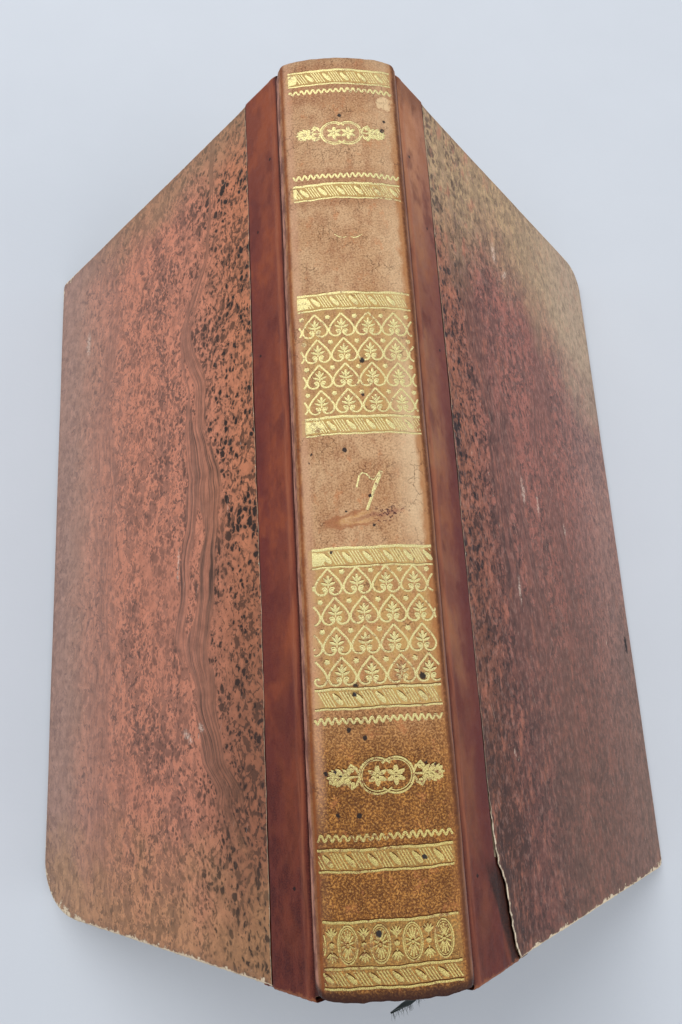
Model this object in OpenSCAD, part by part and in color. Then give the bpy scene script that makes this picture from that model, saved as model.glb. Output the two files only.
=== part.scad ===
// Antique half-leather book lying open face down like a tent.
// Origin: middle of the footprint on the table. +Y towards the head of the book, +Z up out of
// the spine, +X towards the front cover. The covers turn about the creases beside the spine.

/* [Covers] */
// Height of the covers, head to tail
board_height = 215; // [150:1:320]
// Width of a cover from the spine crease to the fore edge
board_width = 129.1; // [90:0.1:220]
// Thickness of the pasteboard inside a cover
board_core = 2.4; // [1.5:0.1:5]
// Angle between each cover and the vertical
open_angle = 39.75; // [30:0.25:55]
// Width of the leather strip that shows on each cover
leather_strip = 13.5; // [8:0.5:30]
// Width of the material folded over onto the inside of a cover
turn_in = 12; // [6:0.5:20]

/* [Covering] */
// Thickness of the leather over the spine
spine_leather_t = 0.9; // [0.6:0.05:1.5]
// Thickness of the leather on the covers
side_leather_t = 0.6; // [0.4:0.05:1]
// Thickness of the marbled paper
paper_t = 0.3; // [0.2:0.05:0.6]
// Thickness of the pastedown over the folded edges
pastedown_t = 0.2; // [0.15:0.05:0.5]

/* [Spine] */
// Straight distance between the two creases
spine_chord = 31.3; // [24:0.1:60]
// Height of the rounded spine above the creases
spine_rise = 6.75; // [4:0.25:12]
// Height of the straight sides of the spine as a share of its whole height
shoulder_share = 0.5; // [0.3:0.05:0.55]
// Outer radius of the spine's shoulders
shoulder_r = 2.2; // [1.8:0.1:3]
// Lean of the straight sides of the spine from the vertical
shoulder_lean = 14; // [8:1:25]
// Length of the spine leather as a share of the cover height
spine_share = 0.986; // [0.97:0.001:0.995]
// Thickness of the hollow paper lining between the leaves and the leather
liner_t = 0.6; // [0.4:0.05:1.2]
// Thickness of the raised gold tooling
gold_t = 0.16; // [0.1:0.01:0.4]

/* [Leaves] */
// How far the leaves stay back from the head and the tail of the covers
square_gap = 3.5; // [2:0.25:8]
// Number of gatherings on each side of the opening
gatherings = 11; // [6:1:16]
// Gap between two gatherings at the fore edge
gathering_gap = 0.6; // [0.3:0.05:1.2]
// Where the innermost leaf meets the table, as a share of where the outermost does
inner_foot = 0.74; // [0.6:0.01:0.85]
// Thickness of the leaves above the top of the opening
gutter_depth = 3.4; // [2.8:0.1:5]

/* [Sewing] */
// Thickness of a sewing cord
cord_d = 1.8; // [1.2:0.1:2.2]
// Width of the silk ribbon
ribbon_w = 5; // [3:0.5:9]
// How far the ribbon reaches past the tail of the leaves
ribbon_tail = 9; // [6:1:20]

/* [Wear] */
// Length of the crushed corner of the back cover along the tail edge
crushed_x = 22; // [4:1:30]
// Length of the crushed corner of the back cover along the fore edge
crushed_y = 15; // [4:1:30]
// Rounding of the front cover's head corner along the head edge
rounded_x = 11; // [2:0.5:20]
// Rounding of the front cover's head corner along the fore edge
rounded_y = 9; // [2:0.5:20]

/* [Hidden] */
$fn = 96;

// Distance kept between pieces that move past each other
clear_gap = 0.3;
// Depth from the outside of a cover to its pasteboard
core_top = side_leather_t;
// Depth to the inside of the pasteboard
core_low = core_top + board_core;
// Depth to the inside of the pastedown
cover_t = core_low + paper_t + pastedown_t;
// Height of the creases above the table
crease_z = board_width * cos(open_angle) + (core_low + paper_t) * sin(open_angle);
// Sideways place of the creases
crease_x = spine_chord / 2;
// Height of the spine's straight sides above the creases
side_h = spine_rise * shoulder_share;
// Top of a straight side, sideways
side_x = crease_x - side_h * tan(shoulder_lean);
// Centre of a shoulder, sideways
shoulder_x = side_x - shoulder_r * cos(shoulder_lean);
// Centre of a shoulder, height
shoulder_z = crease_z + side_h - shoulder_r * sin(shoulder_lean);
// Half angle of the broad curve between the shoulders
field_arc = 2 * atan((crease_z + spine_rise - shoulder_z - shoulder_r) / shoulder_x);
// Radius of the outside of the broad curve
spine_r = shoulder_x / sin(field_arc) + shoulder_r;
// Height of the centre of the broad curve
axis_z = crease_z + spine_rise - spine_r;
// Radius of the inside of the spine leather
leather_r = spine_r - spine_leather_t;
// Radius of the back of the leaves
back_r = leather_r - liner_t;
// Start of the pasteboard beside the crease
core_u = 1.5;
// Radius swept by a cover's inner edge beside the spine
sweep_r = sqrt(pow(core_u, 2) + pow(cover_t, 2)) + clear_gap;
// Distance from the centre of the broad curve to a crease
crease_d = norm([crease_x, crease_z - axis_z]);
// Half angle at which the back of the leaves meets the swept edge
swept_arc = atan2(crease_x, crease_z - axis_z)
  - acos((pow(crease_d, 2) + pow(back_r, 2) - pow(sweep_r + 0.25, 2)) / (2 * crease_d * back_r));
// Half angle of the back of the leaves
back_arc = min(field_arc, swept_arc);
// Half angle of the lining and of the cords
liner_arc = back_arc - 0.5;
// Half the height of the covers
half_h = board_height / 2;
// Half the height of the leaves
leaf_h = half_h - square_gap;
// Half the length of the spine leather
spine_h = half_h * spine_share;
// Depth of the outermost leaf below the outside of a cover
leaf_off = cover_t + clear_gap;
// Length along a cover at which the outermost leaf meets the table
foot_u = (crease_z - leaf_off * sin(open_angle)) / cos(open_angle);
// Sideways place where the outermost leaf meets the table
foot_x = crease_x + foot_u * sin(open_angle) - leaf_off * cos(open_angle);
// Height of the top of the opening between the leaves
gutter_z = axis_z + back_r - gutter_depth;
// Scale of the tooling along the spine
tool_k = board_height / 215;
// Scale of the tooling across the spine
tool_s = spine_r * field_arc * PI / 180 / 13.4;
// Half the width of the tooling, measured round the spine
tool_half = 13.25 * tool_s;
// Height of the gatherings' curve in steps
steps = 14;
// Length of a straight side, ending just above the crease
side_low = side_h / cos(shoulder_lean) - clear_gap * 1.15;
// Angle turned by a shoulder
shoulder_arc = 90 - field_arc - shoulder_lean;
// Depth of a sewing cord's centre below the back of the leaves
cord_r = back_r - cord_d / 2 - 0.05;

// Colours
calf = [0.62, 0.42, 0.26];
maroon = [0.30, 0.13, 0.10];
gold = [0.83, 0.64, 0.27];
marbled_front = [0.45, 0.22, 0.20];
marbled_back = [0.66, 0.30, 0.20];
leaf_paper = [0.88, 0.83, 0.70];
end_paper = [0.80, 0.76, 0.66];
grey_board = [0.62, 0.57, 0.48];
silk = [0.16, 0.27, 0.20];
hemp = [0.74, 0.64, 0.46];

// Shell of the spine's curve between two radii, from y0 to y1
module arc_shell(r0, r1, a, y0, y1) {
  translate([0, 0, axis_z]) rotate([90, 0, 0]) rotate([0, 0, 90 - a])
    rotate_extrude(angle = 2 * a) translate([r0, -y1]) square([r1 - r0, y1 - y0]);
}

// Roll that follows the spine's curve
module arc_roll(r, d, a, y) {
  translate([0, 0, axis_z]) rotate([90, 0, 0]) rotate([0, 0, 90 - a])
    rotate_extrude(angle = 2 * a) translate([r, -y]) circle(d = d, $fn = 32);
}

// Flat ornament laid on the spine at arc length s and height y
module on_spine(s, y) {
  translate([0, y, axis_z]) rotate([0, s / spine_r * 180 / PI, 0])
    translate([0, 0, spine_r - gold_t / 2]) linear_extrude(gold_t * 1.5) children();
}

// Edge between two gatherings: j from 0 at the opening to 1 at the cover, t from spine to foot
function root_of(j) = [back_r * sin(back_arc * j), axis_z + back_r * cos(back_arc * j)];
function line_pt(u) = [crease_x + u * sin(open_angle) - leaf_off * cos(open_angle),
  crease_z - u * cos(open_angle) - leaf_off * sin(open_angle)];
function start_of(j) = j == 0 ? [0, gutter_z] : (root_of(j) * min(1, j * 4)
  + [0, gutter_z] * (1 - min(1, j * 4))) * (1 - pow(j, 3)) + line_pt(2) * pow(j, 3);
function lean(j) = 50 + (open_angle - 50) * j;
function foot_of(j) = [foot_x * (inner_foot + (1 - inner_foot) * j), 0];
function near_of(j) = start_of(j) + crease_z * 0.4
  * [sin(6 + (open_angle - 6) * j), -cos(6 + (open_angle - 6) * j)];
function far_of(j) = foot_of(j) - crease_z * 0.4 * [sin(lean(j)), -cos(lean(j))];
function edge(j, t) = pow(1 - t, 3) * start_of(j) + 3 * t * pow(1 - t, 2) * near_of(j)
  + 3 * t * t * (1 - t) * far_of(j) + pow(t, 3) * foot_of(j);

// Half of the leaves in section, from the opening out to one cover
module half_leaves() {
  difference() {
    polygon(concat(
      [for (i = [0 : steps]) edge(0, i / steps)],
      [for (i = [0 : steps]) edge(1, 1 - i / steps)],
      [for (i = [0 : 12]) [back_r * sin(back_arc * (1 - i / 12)),
        axis_z + back_r * cos(back_arc * (1 - i / 12))]],
      [[0, gutter_z]]));
    for (k = [1 : gatherings - 1]) polygon(concat(
      [for (i = [4 : steps]) edge(k / gatherings, i / steps)
        - [gathering_gap / 2 * (i - 3.7) / (steps - 3.7), 0]],
      [edge(k / gatherings, 1) + [-gathering_gap / 2, -1],
        edge(k / gatherings, 1) + [gathering_gap / 2, -1]],
      [for (i = [0 : steps - 4]) edge(k / gatherings, (steps - i) / steps)
        + [gathering_gap / 2 * (steps - i - 3.7) / (steps - 3.7), 0]]));
    translate([crease_x, crease_z]) circle(r = sweep_r);
  }
}

module text_block() {
  color(leaf_paper) difference() {
    rotate([90, 0, 0]) linear_extrude(2 * leaf_h, center = true) {
      half_leaves();
      mirror([1, 0]) half_leaves();
    }
    for (k = [1 : 5]) arc_shell(back_r - cord_d - 0.1, back_r + 1, back_arc + 4,
      cord_y(k) - cord_d / 2 - 0.03, cord_y(k) + cord_d / 2 + 0.03);
  }
}

function cord_y(k) = (k - 3) * leaf_h * 0.4;

module cord(k) {
  color(hemp) arc_roll(cord_r, cord_d, liner_arc, cord_y(k));
}

module sewing_cord_1() {
  cord(1);
}
module sewing_cord_2() {
  cord(2);
}
module sewing_cord_3() {
  cord(3);
}
module sewing_cord_4() {
  cord(4);
}
module sewing_cord_5() {
  cord(5);
}

// Silk roll sewn along the edge of the leaves
module band(side) {
  color([0.72, 0.55, 0.35]) arc_roll(back_r - 0.8, 1.5, liner_arc, side * (leaf_h + 0.75));
}
module head_band() {
  band(1);
}
module tail_band() {
  band(-1);
}

module spine_liner() {
  color([0.78, 0.70, 0.55]) arc_shell(back_r + 0.03, leather_r - 0.03,
    liner_arc, -leaf_h, leaf_h);
}

// Leather over the spine with the caps formed at head and tail
module spine_leather() {
  color(calf) {
    rotate([90, 0, 0]) linear_extrude(2 * spine_h, center = true)
      polygon(concat(leather_line(0), turned(leather_line(spine_leather_t))));
    for (s = [-1, 1]) {
      arc_shell(back_r - 1.2, leather_r + 0.2, liner_arc - 0.5,
        s > 0 ? leaf_h + 1.5 : -spine_h, s > 0 ? spine_h : -leaf_h - 1.5);
    }
  }
}

// Section line of the leather at depth d: straight side, shoulder, broad curve, and back down
function leather_line(d) = concat(half_line(d), turned(mirrored(half_line(d))));
function half_line(d) = concat(
  [[side_x + side_low * sin(shoulder_lean) - d * cos(shoulder_lean),
    crease_z + side_h - side_low * cos(shoulder_lean) - d * sin(shoulder_lean)]],
  [for (i = [0 : 9]) [shoulder_x + (shoulder_r - d) * cos(shoulder_lean + shoulder_arc * i / 9),
    shoulder_z + (shoulder_r - d) * sin(shoulder_lean + shoulder_arc * i / 9)]],
  [for (i = [1 : 20]) [(spine_r - d) * sin(field_arc * (1 - i / 20.5)),
    axis_z + (spine_r - d) * cos(field_arc * (1 - i / 20.5))]]);
function mirrored(l) = [for (p = l) [-p[0], p[1]]];
function turned(l) = [for (i = [len(l) - 1 : -1 : 0]) l[i]];

// Roll of slanted lozenges and hatching between two fillets
module rope_band(y, h) {
  for (s = [-1, 1]) gold_line(y + s * h / 2 * tool_k, 0.45);
  rope_row(y, h * tool_k);
}
module rope_row(y, h) {
  n = 6;
  for (i = [0 : n - 1]) on_spine((i - (n - 1) / 2) * 2 * tool_half / n, y)
    rope_unit(2 * tool_half / n, h);
}
module rope_unit(w, h) {
  polygon([[-w * 0.46, h * 0.24], [-w * 0.36, h * 0.34], [-w * 0.22, h * 0.26], [-w * 0.02, -h * 0.20],
    [-w * 0.04, -h * 0.33], [-w * 0.18, -h * 0.32], [-w * 0.32, -h * 0.12]]);
  for (k = [0 : 2]) translate([w * (0.04 + 0.14 * k), 0]) polygon([[-w * 0.11, h * 0.34],
    [-w * 0.05, h * 0.34], [w * 0.13, -h * 0.34], [w * 0.07, -h * 0.34]]);
}

// Thin gold line round the spine
module gold_line(y, w) {
  arc_shell(spine_r - gold_t / 2, spine_r + gold_t, tool_half / spine_r * 180 / PI,
    y - w / 2, y + w / 2);
}

// Zigzag roll
module wave_band(y) {
  n = 24;
  for (i = [0 : n - 1]) on_spine((i - (n - 1) / 2) * 2 * tool_half / n, y)
    rotate(i % 2 == 0 ? 52 : -52) square([1.6 * tool_s, 0.36], center = true);
}

// Heart with its point towards the head
function heart_pt(a, k) = k * [16 * pow(sin(a), 3),
  -(13 * cos(a) - 5 * cos(2 * a) - 2 * cos(3 * a) - cos(4 * a))];
module heart(w) {
  difference() {
    polygon([for (i = [0 : 29]) heart_pt(i * 12, w / 32)]);
    polygon([for (i = [0 : 29]) heart_pt(i * 12 + 6, w / 32 * 0.74)]);
  }
}

// Three-lobed leaf on a stem
module trefoil(w) {
  for (p = [[0, 0.30], [-0.24, -0.02], [0.24, -0.02]]) translate(p * w) circle(d = w * 0.34, $fn = 16);
}

// Panel of hearts in rows and columns
module heart_panel(y, h) {
  rows = 4;
  cols = 4;
  cw = 6.3 * tool_s;
  rh = h * tool_k / rows;
  for (r = [0 : rows - 1], c = [0 : cols - 1]) {
    on_spine((c - (cols - 1) / 2) * cw, y + ((rows - 1) / 2 - r) * rh) {
      heart(min(cw * 0.86, rh * 0.98));
      trefoil(min(cw, rh) * 0.42);
    }
  }
  for (r = [0 : rows - 1], c = [0 : cols]) on_spine((c - cols / 2) * cw * 0.99,
    y + ((rows - 1) / 2 - r) * rh + rh * 0.36) circle(d = 0.7 * tool_s, $fn = 16);
}

// Two linked rings with rosettes and scrolled leaves
module fleuron(y) {
  for (s = [-1, 1]) {
    on_spine(s * 3 * tool_s, y) {
      difference() {
        translate([-s * 0.85 * tool_s, 0]) circle(d = 7.7 * tool_s, $fn = 48);
        translate([-s * 0.85 * tool_s, 0]) circle(d = 6.7 * tool_s, $fn = 48);
        translate([-s * 5 * tool_s, 0]) square([4 * tool_s, 9 * tool_s], center = true);
      }
      translate([-s * 0.85 * tool_s, 0]) rosette();
    }
    on_spine(s * 9.4 * tool_s, y) rotate(s > 0 ? 0 : 180) scroll_leaf();
  }
}
module rosette() {
  for (q = [0 : 5]) rotate(30 + 60 * q) polygon([for (p = [[0.45, 0], [1.1, 0.5], [1.9, 0.42], [2.25, 0],
    [1.9, -0.42], [1.1, -0.5]]) p * tool_s]);
  circle(d = 0.6 * tool_s, $fn = 12);
}
module scroll_leaf() {
  polygon([for (p = [[-2.0, 0], [-0.9, 0.7], [0.4, 1.2], [1.3, 2.2], [2.5, 2.6], [3.2, 2.0],
    [2.6, 1.5], [2.2, 0.8], [3.0, 0], [2.2, -0.8], [2.6, -1.5], [3.2, -2.0], [2.5, -2.6],
    [1.3, -2.2], [0.4, -1.2], [-0.9, -0.7]]) p * tool_s]);
}

// Row of rayed ovals with dots and fans between them
module palmette_band(y) {
  for (i = [0 : 3]) on_spine((i - 1.5) * 6.3 * tool_s, y) palmette_oval();
  for (i = [-2 : 2]) on_spine(i * 6.3 * tool_s * 0.985, y) {
    circle(d = 0.9 * tool_s, $fn = 16);
    for (m = [0, 1]) mirror([0, m]) palmette_fan();
  }
}
module palmette_oval() {
  difference() {
    polygon([for (i = [0 : 29]) [1.85 * tool_s * sin(i * 12), 3.25 * tool_k * cos(i * 12)]]);
    polygon([for (i = [0 : 29]) [1.5 * tool_s * sin(i * 12), 2.88 * tool_k * cos(i * 12)]]);
  }
  for (i = [0 : 11]) polygon([oval_ray(i * 30 - 5, 0.42), oval_ray(i * 30 - 4, 0.86),
    oval_ray(i * 30 + 4, 0.86), oval_ray(i * 30 + 5, 0.42)]);
}
function oval_ray(a, k) = [1.45 * tool_s * k * sin(a), 2.83 * tool_k * k * cos(a)];
module palmette_fan() {
  for (a = [-40, 0, 40]) translate([0, 1.1 * tool_k]) rotate(a) polygon([[-0.12, 0], [-0.26, 1.1],
    [0, 1.7], [0.26, 1.1], [0.12, 0]] * tool_s);
}

module spine_gilding() {
  color(gold) {
    for (y = [100.1, 67.6, 38.3, 8.0, -21.7, -50.8, -81.3]) rope_band(y * tool_k, 3.95);
    for (y = [94.9, 71.8, -55.3, -77.0]) wave_band(y * tool_k);
    for (y = [23.1, -36.25]) heart_panel(y * tool_k, 24.8);
    for (y = [85.2, -65.9]) fleuron(y * tool_k);
    palmette_band(-96.1 * tool_k);
    for (y = [-92.1, -100.1, -103.5]) gold_line(y * tool_k, 0.45);
    rope_row(-101.8 * tool_k, 3.4 * tool_k);
  }
}

// Ribbon that lies on the innermost leaf and comes out at the tail
module ribbon_marker() {
  color(silk) rotate([90, 0, 0]) translate([0, 0, -leaf_h + 4])
    linear_extrude(2 * leaf_h - 4 + ribbon_tail) polygon(concat(
      [for (i = [0 : 4]) edge(0, ribbon_t0 + i / 4 * ribbon_dt)],
      [for (i = [0 : 4]) edge(0, ribbon_t0 + (1 - i / 4) * ribbon_dt) + [-0.24, -0.04]]));
}
ribbon_t0 = 0.055;
ribbon_dt = ribbon_w / norm(near_of(0) - start_of(0)) / 3 * 1.15;

// Puts a flat cover in place: x from the crease to the fore edge, z = 0 on its outside
module place_cover(side) {
  if (side > 0) {
    translate([crease_x, 0, crease_z]) rotate([0, 90 - open_angle, 0]) children();
  } else {
    mirror([1, 0, 0]) translate([crease_x, 0, crease_z]) rotate([0, 90 - open_angle, 0])
      children();
  }
}

// Outline of a cover, grown by g, starting at u0
function corner(cx, cy, rx, ry, a0) = [for (i = [0 : 8]) [cx + rx * cos(a0 + i * 11.25),
  cy + ry * sin(a0 + i * 11.25)]];
function tail_rx(side) = side > 0 ? 4 : crushed_x;
function tail_ry(side) = side > 0 ? 2.5 : crushed_y;
function head_rx(side) = side > 0 ? rounded_x : 2;
function head_ry(side) = side > 0 ? rounded_y : 2;
function cover_shape(side, u0, g) = concat(
  [[u0, -core_h - g]],
  corner(core_w - tail_rx(side), -core_h + tail_ry(side), tail_rx(side) + g,
    tail_ry(side) + g, -90),
  corner(core_w - head_rx(side), core_h - head_ry(side), head_rx(side) + g,
    head_ry(side) + g, 0),
  [[u0, core_h + g]]);
// Half height of the pasteboard
core_h = half_h - side_leather_t;
// Width of the pasteboard from the crease
core_w = board_width - paper_t;

// Pockets for the ends of the cords
module slip_pockets(grow) {
  for (k = [1 : 5]) translate([core_u - 1 * grow, cord_y(k) - 3 - grow * 0.02, -core_top - 0.3])
    cube([turn_in + grow * 1.02, 6 + grow * 0.04, 0.3 + grow]);
}

module cover_board(side) {
  color(grey_board) place_cover(side) difference() {
    translate([0, 0, -core_low]) linear_extrude(board_core)
      polygon(cover_shape(side, core_u, 0));
    slip_pockets(1);
  }
}

module cover_slips(side) {
  color(hemp) place_cover(side) slip_pockets(0);
}

// Leather strip along the crease, folded over the head and tail edges
module cover_leather(side) {
  color(maroon) place_cover(side) {
    translate([clear_gap, -half_h, -side_leather_t])
      cube([leather_strip - clear_gap, board_height, side_leather_t]);
    translate([leather_strip - 0.2, -core_h, -side_leather_t])
      cube([3.2, 2 * core_h, side_leather_t / 3]);
    for (s = [-1, 1]) {
      translate([core_u, s > 0 ? core_h : -half_h, -core_low - paper_t])
        cube([leather_strip - core_u, side_leather_t, core_low + paper_t]);
      translate([core_u, s > 0 ? half_h - turn_in : -half_h, -core_low - paper_t])
        cube([leather_strip - core_u, turn_in, paper_t]);
    }
  }
}

// Marbled paper, lapped on the leather and folded over the three edges
module cover_paper(side) {
  color(side > 0 ? marbled_front : marbled_back) place_cover(side) {
    difference() {
      translate([0, 0, -core_low - paper_t]) linear_extrude(board_core + 2 * paper_t)
        polygon(cover_shape(side, leather_strip + 3, paper_t));
      translate([0, 0, -core_low]) linear_extrude(board_core)
        polygon(cover_shape(side, leather_strip, 0));
      translate([leather_strip, -half_h + turn_in, -core_low - paper_t - 1])
        cube([board_width - leather_strip - turn_in, board_height - 2 * turn_in, 1.5]);
    }
    difference() {
      translate([leather_strip, -core_h - paper_t, -core_low - paper_t])
        cube([3.01, 2 * (core_h + paper_t), core_low + paper_t
          - side_leather_t * 2 / 3 + paper_t]);
      translate([leather_strip - 1, -core_h, -core_low])
        cube([5, 2 * core_h, core_low - side_leather_t * 2 / 3]);
      translate([leather_strip - 1, -half_h + turn_in, -core_low - 2])
        cube([5, board_height - 2 * turn_in, 3]);
    }
  }
}

// Plain paper on the inside of a cover
module cover_pastedown(side) {
  color(end_paper) place_cover(side) {
    translate([core_u + 0.5, -leaf_h + 0.5, -cover_t])
      linear_extrude(pastedown_t) pastedown_shape(side);
    translate([core_u + 0.5, -half_h + turn_in, -core_low - paper_t - 0.01])
      cube([board_width - turn_in - core_u - 0.5, board_height - 2 * turn_in, paper_t + 0.01]);
  }
}
module pastedown_shape(side) {
  w = board_width - 4 - core_u;
  h = 2 * leaf_h - 1;
  if (side > 0) {
    square([w, h]);
  } else {
    polygon([[0, 0], [w - crushed_x * 0.55, 0], [w, crushed_y * 0.55], [w, h], [0, h]]);
  }
}

module front_board() {
  cover_board(1);
}
module front_leather_side() {
  cover_leather(1);
}
module front_marbled_paper() {
  cover_paper(1);
}
module front_pastedown() {
  cover_pastedown(1);
}
module front_cord_slips() {
  cover_slips(1);
}
module back_board() {
  cover_board(-1);
}
module back_leather_side() {
  cover_leather(-1);
}
module back_marbled_paper() {
  cover_paper(-1);
}
module back_pastedown() {
  cover_pastedown(-1);
}
module back_cord_slips() {
  cover_slips(-1);
}

text_block();
head_band();
tail_band();
spine_liner();
spine_leather();
spine_gilding();
sewing_cord_1();
sewing_cord_2();
sewing_cord_3();
sewing_cord_4();
sewing_cord_5();
ribbon_marker();
front_board();
front_leather_side();
front_marbled_paper();
front_pastedown();
front_cord_slips();
back_board();
back_leather_side();
back_marbled_paper();
back_pastedown();
back_cord_slips();
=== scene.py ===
import math
import bpy
import numpy as np
from mathutils import Matrix, Vector


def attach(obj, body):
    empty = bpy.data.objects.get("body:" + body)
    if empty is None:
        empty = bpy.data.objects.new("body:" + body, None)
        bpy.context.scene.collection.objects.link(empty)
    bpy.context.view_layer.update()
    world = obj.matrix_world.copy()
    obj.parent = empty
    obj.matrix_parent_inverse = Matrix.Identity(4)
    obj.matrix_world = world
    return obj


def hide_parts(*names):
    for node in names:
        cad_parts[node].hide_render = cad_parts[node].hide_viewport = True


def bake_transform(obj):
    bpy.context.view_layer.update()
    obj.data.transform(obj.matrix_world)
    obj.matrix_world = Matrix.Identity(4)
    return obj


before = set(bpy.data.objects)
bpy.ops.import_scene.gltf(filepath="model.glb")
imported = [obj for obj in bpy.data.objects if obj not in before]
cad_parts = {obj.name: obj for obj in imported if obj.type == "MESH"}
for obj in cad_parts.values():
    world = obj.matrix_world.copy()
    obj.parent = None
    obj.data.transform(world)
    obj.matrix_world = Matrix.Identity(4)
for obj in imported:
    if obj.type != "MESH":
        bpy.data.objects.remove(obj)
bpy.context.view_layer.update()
rng = np.random.default_rng(7)

# ---------------------------------------------------------------- sizes, in mm, as in the CAD source
MM = 0.001
BH, BW = 215.0, 129.1  # height and width of a cover
TH = math.radians(39.75)  # angle of a cover from the vertical
ST, CT = math.sin(TH), math.cos(TH)
SIDE_T, CORE, PAPER, PASTE = 0.6, 2.4, 0.3, 0.2  # leather, pasteboard, marbled paper, paper inside
CORE_LOW = SIDE_T + CORE
COVER_T = CORE_LOW + PAPER + PASTE
H = BW * CT + (CORE_LOW + PAPER) * ST  # height of the creases over the table
CX, RISE = 15.65, 6.75  # crease from the middle, spine over the creases
LEAN, SH_R, SIDE_H = math.radians(14), 2.2, RISE * 0.5  # sides of the spine, radius of its shoulders
SIDE_X = CX - SIDE_H * math.tan(LEAN)
SH_X = SIDE_X - SH_R * math.cos(LEAN)
SH_Z = H + SIDE_H - SH_R * math.sin(LEAN)
FA = 2 * math.atan((H + RISE - SH_Z - SH_R) / SH_X)  # half angle of the broad curve
RS = SH_X / math.sin(FA) + SH_R  # its radius
AZ = H + RISE - RS  # height of its centre
# half lengths round the spine: broad curve, shoulder, side
L_FIELD = RS * FA
L_SH = SH_R * (math.pi / 2 - FA - LEAN)
L_SIDE = SIDE_H / math.cos(LEAN)
L_ALL = L_FIELD + L_SH + L_SIDE
BACK_R = RS - 0.9 - 0.6  # back of the leaves, under leather and lining
LEAF_H = BH / 2 - 3.5  # half the height of the leaves
STRIP = 13.5  # width of the leather beside the crease
# gold tooling: heights of the rolls, and of the zigzag rolls, along the spine
ROPES = (100.1, 67.6, 38.3, 8.0, -21.7, -50.8, -81.3)
HALF_ROPE = 2.0
WAVES = (96.1, 71.8, -55.1, -77.2)
CORE_H, CORE_W = BH / 2 - SIDE_T, BW - PAPER


def lit(k, r, g, b):
    """Base colour that shows as the given tone under light k."""
    c = lin(r, g, b)
    return tuple(min(0.95, max(0.002, (c[i] - 0.010) / k[i])) for i in range(3)) + (1.0,)


def lin(r, g, b):
    """Linear colour of an 8-bit screen colour."""
    f = lambda v: (v / 255) / 12.92 if v <= 10.3 else ((v / 255 + 0.055) / 1.055) ** 2.4
    return (f(r), f(g), f(b), 1.0)


# ---------------------------------------------------------------- material builder
def operator(op, swapped=False):
    """Method of Val that adds the maths node op."""
    def method(self, other=None):
        return self.mat.math(op, *((other, self) if swapped else (self, other)))
    return method


class Val:
    """Output of a shader node. Arithmetic on it adds maths nodes."""
    __add__, __radd__ = operator("ADD"), operator("ADD", True)
    __sub__, __rsub__ = operator("SUBTRACT"), operator("SUBTRACT", True)
    __mul__, __truediv__ = operator("MULTIPLY"), operator("DIVIDE")
    __pow__, __abs__ = operator("POWER"), operator("ABSOLUTE")

    def __init__(self, mat, socket):
        self.mat, self.socket = mat, socket
        self.vector = socket.type in ("VECTOR", "RGBA")

    def swing(self, k):
        """k times the distance from 0.5, the middle of a noise."""
        return (self - ((0.5, 0.5, 0.5) if self.vector else 0.5)) * k


def largest(first, *rest):
    """Maths nodes for the largest of the values."""
    for v in rest:
        first = first.mat.math("MAXIMUM", first, v)
    return first


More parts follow.
